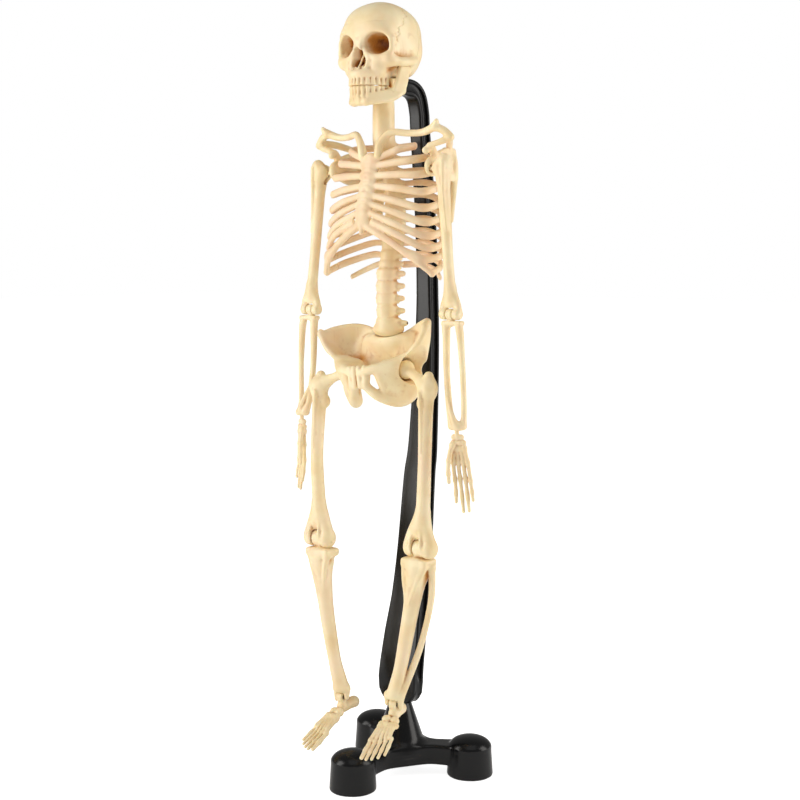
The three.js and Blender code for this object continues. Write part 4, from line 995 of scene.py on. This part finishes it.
def build_shin(name, side):
    ankle = pivot("ankle_" + name) - pivot("knee_" + name)
    ax = ankle.x * side
    axis = JOINTS["ankle_" + name]["axis"]
    yaw = math.atan2(axis[1], axis[0])
    clay = sided_clay(side, (-21, -8.5, -75.5), (10.5, 8.5, 7), 0.34)
    clay.add(drum((0, 0, 0), 3.8, 2.2, "x", 0.5), 0.3)
    clay.add(limb(points((0, 0.3, -2.4), (0, 0.3, -6)), 1.8), 0.4)
    ends = sorted((side * -8.2, side * 5.6))
    clay.add(block((ends[0], -4.4, -8.0), (ends[1], 4.6, -4.35), 1.2), 0.8)
    tibia = [(-1.4, 0, -9), (-2.8, -0.8, -18), (-5.6, -1.5, -34), (-10, -1.5, -54)]
    tibia += [(ax + 0.6, ankle.y, ankle.z + 5)]
    clay.add(bent(mirror(tibia, side), (5.6, 5.0, 4.3, 3.5, 2.9, 3.5), 28, (0, 0.1, 0.2, 0.4, 0.75, 1)), 1.8)
    for start, end in (((-6.8, -2.6, -7.4), (-5.4, -2.8, -26)), ((3.8, -2.4, -7.4), (-2.6, -4.6, -24))):
        edge = mirror([start, ((start[0] + end[0]) / 2, -3.8, -15), end], side)
        clay.add(bent(edge, (1.5, 0.5)), 1.0)
    fibula = [(4.6, 1.2, -8), (4.8, 1.8, -13), (3.6, 2.4, -24), (-1.4, 2.4, -42), (-6.6, 1.4, -56)]
    fibula += [(ax + 3.2, ankle.y + 0.6, ankle.z + 4)]
    clay.add(bent(mirror(fibula, side), (2.3, 1.6, 1.35, 1.6, 2.1), 28, (0, 0.12, 0.5, 0.85, 1)), 0.6)
    across = np.array((math.cos(yaw), math.sin(yaw), 0))
    medial = np.array(ankle) - side * 3.0 * across
    lateral = np.array(ankle) + side * 3.2 * across
    clay.add(ball((ankle.x, ankle.y, ankle.z + 4.2), (4.2, 3.4, 2.4)), 1.2)
    clay.add(limb([medial + (0, 0, 4), medial + (0, 0, 0.2)], (1.6, 1.15)), 0.9)
    clay.add(limb([lateral + (0, 0, 4), lateral + (0, 0.2, -1.6)], (1.7, 1.15)), 0.9)
    low = (ankle.x - ANKLE_FORK, ankle.y - 8, ankle.z - 6)
    clay.cut(block(low, (ankle.x + ANKLE_FORK, ankle.y + 8, ankle.z + 2.2), 0.4, yaw), 0.3)
    clay.cut(drum(ankle, 2.9, ANKLE_FORK, "x", 0.3, yaw), 0.3)
    clay.cut(drum((0, 0, 0), KNEE_HOLE, 6, "x", 0.1), 0.1)
    node = "shin_" + name
    bone_piece(node, clay, moved(pivot("knee_" + name)), node)


# the small bones of the instep as balls: x, y, z and radius, for the left foot
INSTEP = (
    (-1.8, -5.6, -4.4, 2.1), (1.8, -5.2, -5, 2.0), (-3, -8.8, -4.6, 1.5), (-0.8, -9, -4.5, 1.5),
    (1.4, -8.8, -4.8, 1.5), (3.2, -8, -5.4, 1.5),
)
# the toes from the big one: where the tip is, x and y, and how thick the toe is
TOES = ((-4.8, -28.6, 1.25), (-2.5, -29.2, 0.98), (-0.2, -28.6, 0.95), (2.2, -27.2, 0.92), (4.4, -24.8, 0.92))


def build_foot(name, side):
    clay = Clay((-9, -36.5, -12), (9, 10.5, 4), 0.28)
    clay.add(drum((0, 0, 0), 2.4, 1.6, "x", 0.5), 0.3)
    clay.add(limb(points((0, 0, -0.6), (0, -1, -3.6)), (1.5, 2.4)), 0.8)
    heel = points((0, -1.5, -5), (0, 2.6, -5.6), (0, 6, -6.6))
    clay.add(bent(heel, (2.3, 2.7)), 1)
    for x, y, z, size in INSTEP:
        clay.add(ball((side * x, y, z), (size, size, size * 0.95)), 0.7)
    for tip_x, tip_y, thick in TOES:
        rows = [(tip_x * 0.55, -8.4, -4.9), (tip_x * 0.78, -16, -5.4)]
        rows += [(tip_x * 0.92, tip_y + 9, -6.6), (tip_x, tip_y, -7.6)]
        finger(clay, rows, (0.06, 0.58, 0.84), thick, side)
    axis = JOINTS["ankle_" + name]["axis"]
    yaw = math.atan2(axis[1], axis[0])
    turn = Matrix.Rotation(yaw, 4, "Z") @ Matrix.Rotation(FOOT_PITCH, 4, "X")
    clay.cut(drum((0, 0, 0), ANKLE_HOLE, 4, "x", 0.1), 0.1)
    node = "foot_" + name
    bone_piece(node, clay, moved(pivot("ankle_" + name), turn), node, 1)


# ---- stand ----
FOOT_NODES = ("foot_cover_front", "foot_cover_left", "foot_cover_right")
HUB_TOP = 33
ARM_LOW, ARM_HIGH = 5, 14.2


def cone(centre, radius_low, radius_high, low, high, rounding):
    """A tapered round post about Z."""
    lean = (radius_low - radius_high) / (high - low)
    scale = 1 / math.hypot(1, lean)
    reach = max(radius_low, radius_high)
    mid, half = (low + high) / 2, (high - low) / 2

    def distance(clay, where, x, y, z):
        r = np.sqrt((x - centre[0]) ** 2 + (y - centre[1]) ** 2)
        a = (r - (radius_low - lean * (z - low))) * scale + rounding
        return rounded(a, np.abs(z - mid) - half + rounding + 0 * a, rounding)

    low_corner = np.array((centre[0] - reach, centre[1] - reach, low))
    return low_corner, np.array((centre[0] + reach, centre[1] + reach, high)), distance


def arm_plan(ends):
    """The flat-topped arms, with waists between hub and feet that run together in smooth curves."""
    stack = np.array([e[:2] for e in ends])
    mid, half, rounding = (ARM_LOW + ARM_HIGH) / 2, (ARM_HIGH - ARM_LOW) / 2, 1.2

    def distance(clay, where, x, y, z):
        plan = None
        for end in stack:
            length = np.linalg.norm(end)
            t = np.clip((x * end[0] + y * end[1]) / length**2, 0, 1)
            d = np.sqrt((x - t * end[0]) ** 2 + (y - t * end[1]) ** 2) - (5.4 + 2.2 * (2 * t - 0.9) ** 2)
            if plan is None:
                plan = d
            else:
                h = np.maximum(11 - np.abs(plan - d), 0) / 11
                plan = np.minimum(plan, d) - h * h * 11 / 4
        a = plan + rounding + 0 * z
        return rounded(a, np.abs(z - mid) - half + rounding + 0 * a, rounding)

    low, high = stack.min(0) - 12, stack.max(0) + 12
    return np.append(low, ARM_LOW), np.append(high, ARM_HIGH), distance


def build_base():
    clay = Clay((-41, -46, -2), (41, 29, 36), 0.5)
    centres = [np.array(middle(node) - HUB) for node in FOOT_NODES]
    clay.add(arm_plan(centres), 0.5)
    clay.add(cone((0, 0), 12.6, 4.8, 10, HUB_TOP + 0.2, 0.6), 3.0)
    for c in centres:
        clay.add(ball((c[0], c[1], 13.4), (9.6, 9.6, 4.8)), 0.5)
        clay.add(cone(c, 10.5, 9.6, 0, 14.4, 0.7), 0.7)
        clay.cut(cone(c, 8.7, 8.7, -2, 1.9, 0.1), 0.1)
        clay.cut(cone(c, 7.7, 7.7, -2, 13, 0.5), 0.1)
    clay.cut(cone((0, 0), 3.4, 3.4, 3, 9, 0.2), 0.1)
    clay.cut(cone((0, 0), 1.6, 1.6, 3, 40, 0.1), 0.1)
    place, quads = clay.skin()
    place = relax(place, quads, place, 3)
    place[:, 2] = np.maximum(place[:, 2], 0)
    turned = (place + np.array(HUB)) * MM
    mesh_piece("stand_base", turned, quads, BLACK, "stand", ["stand_base"])


POST_SIDE = [
    (0.3, 33.3), (0.8, 46), (3.8, 63), (7.2, 80), (10.4, 101), (13.8, 134), (16.4, 151),
    (19.3, 200), (18.6, 240), (15.6, 275), (13.9, 291), (13.3, 298), (11, 305), (6, 308.2), (-2.6, 308.2),
]
POST_WIDTHS = [
    (32, 4), (33.6, 8), (37.5, 10.3), (43, 10.8), (63, 9.9), (80, 8.5), (134, 6.9), (151, 6.1), (217, 4),
    (290, 3.3), (330, 3.3),
]
POST_HALF_DEPTH = 3.5
POST_SECTIONS = 210


def post_section(width, groove):
    """Half-outline of the post's H section, as (across, through) pairs that start at the front."""
    deep, lip, edge = width - groove, POST_HALF_DEPTH - 1.6, POST_HALF_DEPTH
    side = [
        (0, edge), (width * 0.5, edge), (width - 0.8, edge), (width - 0.25, edge - 0.2), (width, edge - 0.8),
        (width, lip + 0.3), (width - 0.25, lip), (deep + 0.3, lip - 0.1), (deep, lip - 0.5), (deep, 0),
    ]
    back = [(a, -b) for a, b in side[:-1]][::-1]
    right = side + back
    return right + [(-a, b) for a, b in right[1:-1]][::-1]


def build_post():
    rows = curve([(0, y, z) for y, z in POST_SIDE], 15 * 16)
    gaps = np.r_[0, np.cumsum([np.linalg.norm(b - a) for a, b in zip(rows, rows[1:])])]
    even = np.linspace(0, gaps[-1], POST_SECTIONS)
    line = np.stack([np.interp(even, gaps, [r[i] for r in rows]) for i in range(3)], 1)
    tangents = np.gradient(line, axis=0)
    tangents /= np.linalg.norm(tangents, axis=1)[:, None]
    place = []
    heights, widths = zip(*POST_WIDTHS)
    for at, way in zip(line, tangents):
        width = float(np.interp(at[2], heights, widths))
        groove = 1.6 if at[2] > 46 else 0.2 + 1.4 * max(0, at[2] - 38) / 8
        through = np.array((0, -way[2], way[1]))
        section = post_section(width, groove)
        ring = len(section)
        place += [at + np.array((a, 0, 0)) + through * b for a, b in section]
    quads = []
    for i in range(POST_SECTIONS - 1):
        for j in range(ring):
            k = (j + 1) % ring
            quads.append((i * ring + j, i * ring + k, (i + 1) * ring + k, (i + 1) * ring + j))
    half = ring // 2
    for start, flip in ((0, False), ((POST_SECTIONS - 1) * ring, True)):
        for j in range(half):
            face = (start + j, start + (ring - j) % ring, start + (ring - j - 1) % ring, start + j + 1)
            face = tuple(dict.fromkeys(face))
            if len(face) > 2:
                quads.append(face[::-1] if flip else face)
    mesh = bpy.data.meshes.new("stand_post")
    mesh.from_pydata([tuple((p + np.array(HUB)) * MM) for p in place], [], quads)
    mesh.validate()
    mesh.update()
    edit = bmesh.new()
    edit.from_mesh(mesh)
    bmesh.ops.recalc_face_normals(edit, faces=edit.faces)
    edit.to_mesh(mesh)
    edit.free()
    mesh.polygons.foreach_set("use_smooth", np.ones(len(mesh.polygons), bool))
    mesh.materials.append(BLACK)
    piece = bpy.data.objects.new("stand_post", mesh)
    bpy.context.scene.collection.objects.link(piece)
    weighted = piece.modifiers.new("shading", "WEIGHTED_NORMAL")
    weighted.keep_sharp = True
    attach(piece, "stand")
    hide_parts("stand_post")


def finish_nodes():
    """The CAD nodes that stay: pins, screw, ballast and foot covers."""
    for name, node in frame["nodes"].items():
        metal = name == "post_screw" or "ballast" in name or "_pin_" in name
        if not (metal or "cover" in name):
            continue
        node.data.materials.clear()
        node.data.materials.append(STEEL if metal else BLACK)
        bevel = node.modifiers.new("edge", "BEVEL")
        bevel.width = 0.15 * MM
        bevel.segments = 2
        bevel.limit_method = "ANGLE"


# ---- studio ----
CAMERA_AZIMUTH = math.radians(40.1)
CAMERA_DISTANCE, CAMERA_HEIGHT, CAMERA_PITCH = 650, 236, math.radians(5.75)
CAMERA_LENS, CAMERA_SENSOR = 65.7, 36
FLOOR_REACH = 6  # metres
LIGHT_AIM = 190  # the height that the lights point at


def round_the_hub(azimuth, distance, height):
    """A place in metres round the hub, where azimuth 0 is straight in front."""
    return (HUB + Vector((math.sin(azimuth) * distance, -math.cos(azimuth) * distance, height))) * MM


def add_camera():
    data = bpy.data.cameras.new("camera")
    data.lens = CAMERA_LENS
    data.sensor_width = CAMERA_SENSOR
    camera = bpy.data.objects.new("camera", data)
    camera.location = round_the_hub(CAMERA_AZIMUTH, CAMERA_DISTANCE, CAMERA_HEIGHT)
    camera.rotation_euler = (math.pi / 2 - CAMERA_PITCH, 0, CAMERA_AZIMUTH)
    bpy.context.scene.collection.objects.link(camera)
    bpy.context.scene.camera = camera


def add_light(name, turn, distance, height, size, power, colour=(1, 1, 1)):
    """A soft box turned away from the camera's side by turn degrees, aimed at the chest."""
    data = bpy.data.lights.new(name, "AREA")
    data.shape = "RECTANGLE"
    data.size, data.size_y = size
    data.energy = power
    data.color = colour
    lamp = bpy.data.objects.new(name, data)
    lamp.location = round_the_hub(CAMERA_AZIMUTH + math.radians(turn), distance, height)
    aim = (HUB + Vector((0, 0, LIGHT_AIM))) * MM - lamp.location
    lamp.rotation_euler = aim.to_track_quat("-Z", "Y").to_euler()
    bpy.context.scene.collection.objects.link(lamp)


def add_studio():
    floor_mesh = bpy.data.meshes.new("floor")
    corners = [(x * FLOOR_REACH, y * FLOOR_REACH, 0) for x, y in ((-1, -1), (1, -1), (1, 1), (-1, 1))]
    floor_mesh.from_pydata(corners, [], [(0, 1, 2, 3)])
    floor = bpy.data.objects.new("floor", floor_mesh)
    made, nodes, links, shader = new_material("floor")
    shader.inputs["Base Color"].default_value = (0.93, 0.93, 0.93, 1)
    shader.inputs["Roughness"].default_value = 0.9
    shader.inputs["Emission Color"].default_value = (1, 1, 1, 1)
    seen_direct = nodes.new("ShaderNodeLightPath")
    glow = scaled(nodes, links, seen_direct.outputs["Is Camera Ray"], 0.6, 0.25)
    links.new(glow, shader.inputs["Emission Strength"])
    floor_mesh.materials.append(made)
    bpy.context.scene.collection.objects.link(floor)
    world = bpy.data.worlds.new("studio")
    bpy.context.scene.world = world
    world.use_nodes = True
    tree = world.node_tree
    seen = tree.nodes.new("ShaderNodeBackground")
    seen.inputs["Color"].default_value = (1, 1, 1, 1)
    lit = tree.nodes["Background"]
    lit.inputs["Color"].default_value = (1, 0.985, 0.96, 1)
    lit.inputs["Strength"].default_value = 0.3
    path = tree.nodes.new("ShaderNodeLightPath")
    mix = tree.nodes.new("ShaderNodeMixShader")
    tree.links.new(path.outputs["Is Camera Ray"], mix.inputs["Fac"])
    tree.links.new(lit.outputs["Background"], mix.inputs[1])
    tree.links.new(seen.outputs["Background"], mix.inputs[2])
    tree.links.new(mix.outputs["Shader"], tree.nodes["World Output"].inputs["Surface"])
    add_light("left_box", -75, 900, 420, (0.5, 0.9), 6.0, (1, 0.98, 0.95))
    add_light("right_box", 80, 900, 380, (0.5, 0.9), 5.2, (1, 0.97, 0.93))
    add_light("top_box", 10, 500, 1100, (0.9, 0.9), 1.5)
    bpy.context.scene.view_settings.view_transform = "Standard"


# ---- assembly ----
add_camera()
add_studio()
build_base()
build_post()
finish_nodes()
build_skull()
build_mandible()
build_spine()
build_rib_cage()
build_pelvis()
for name, side in SIDES.items():
    build_girdle(name, side)
    peg("shoulder_peg_" + name, "shoulder_swing_" + name, 2.8, 1.0, 7.4, side)
    build_upper_arm(name, side)
    build_forearm(name, side)
    build_hand(name, side)
    peg("hip_peg_" + name, "hip_swing_" + name, 3.0, 1.2, 6.6, side)
    build_thigh(name, side)
    build_shin(name, side)
    build_foot(name, side)
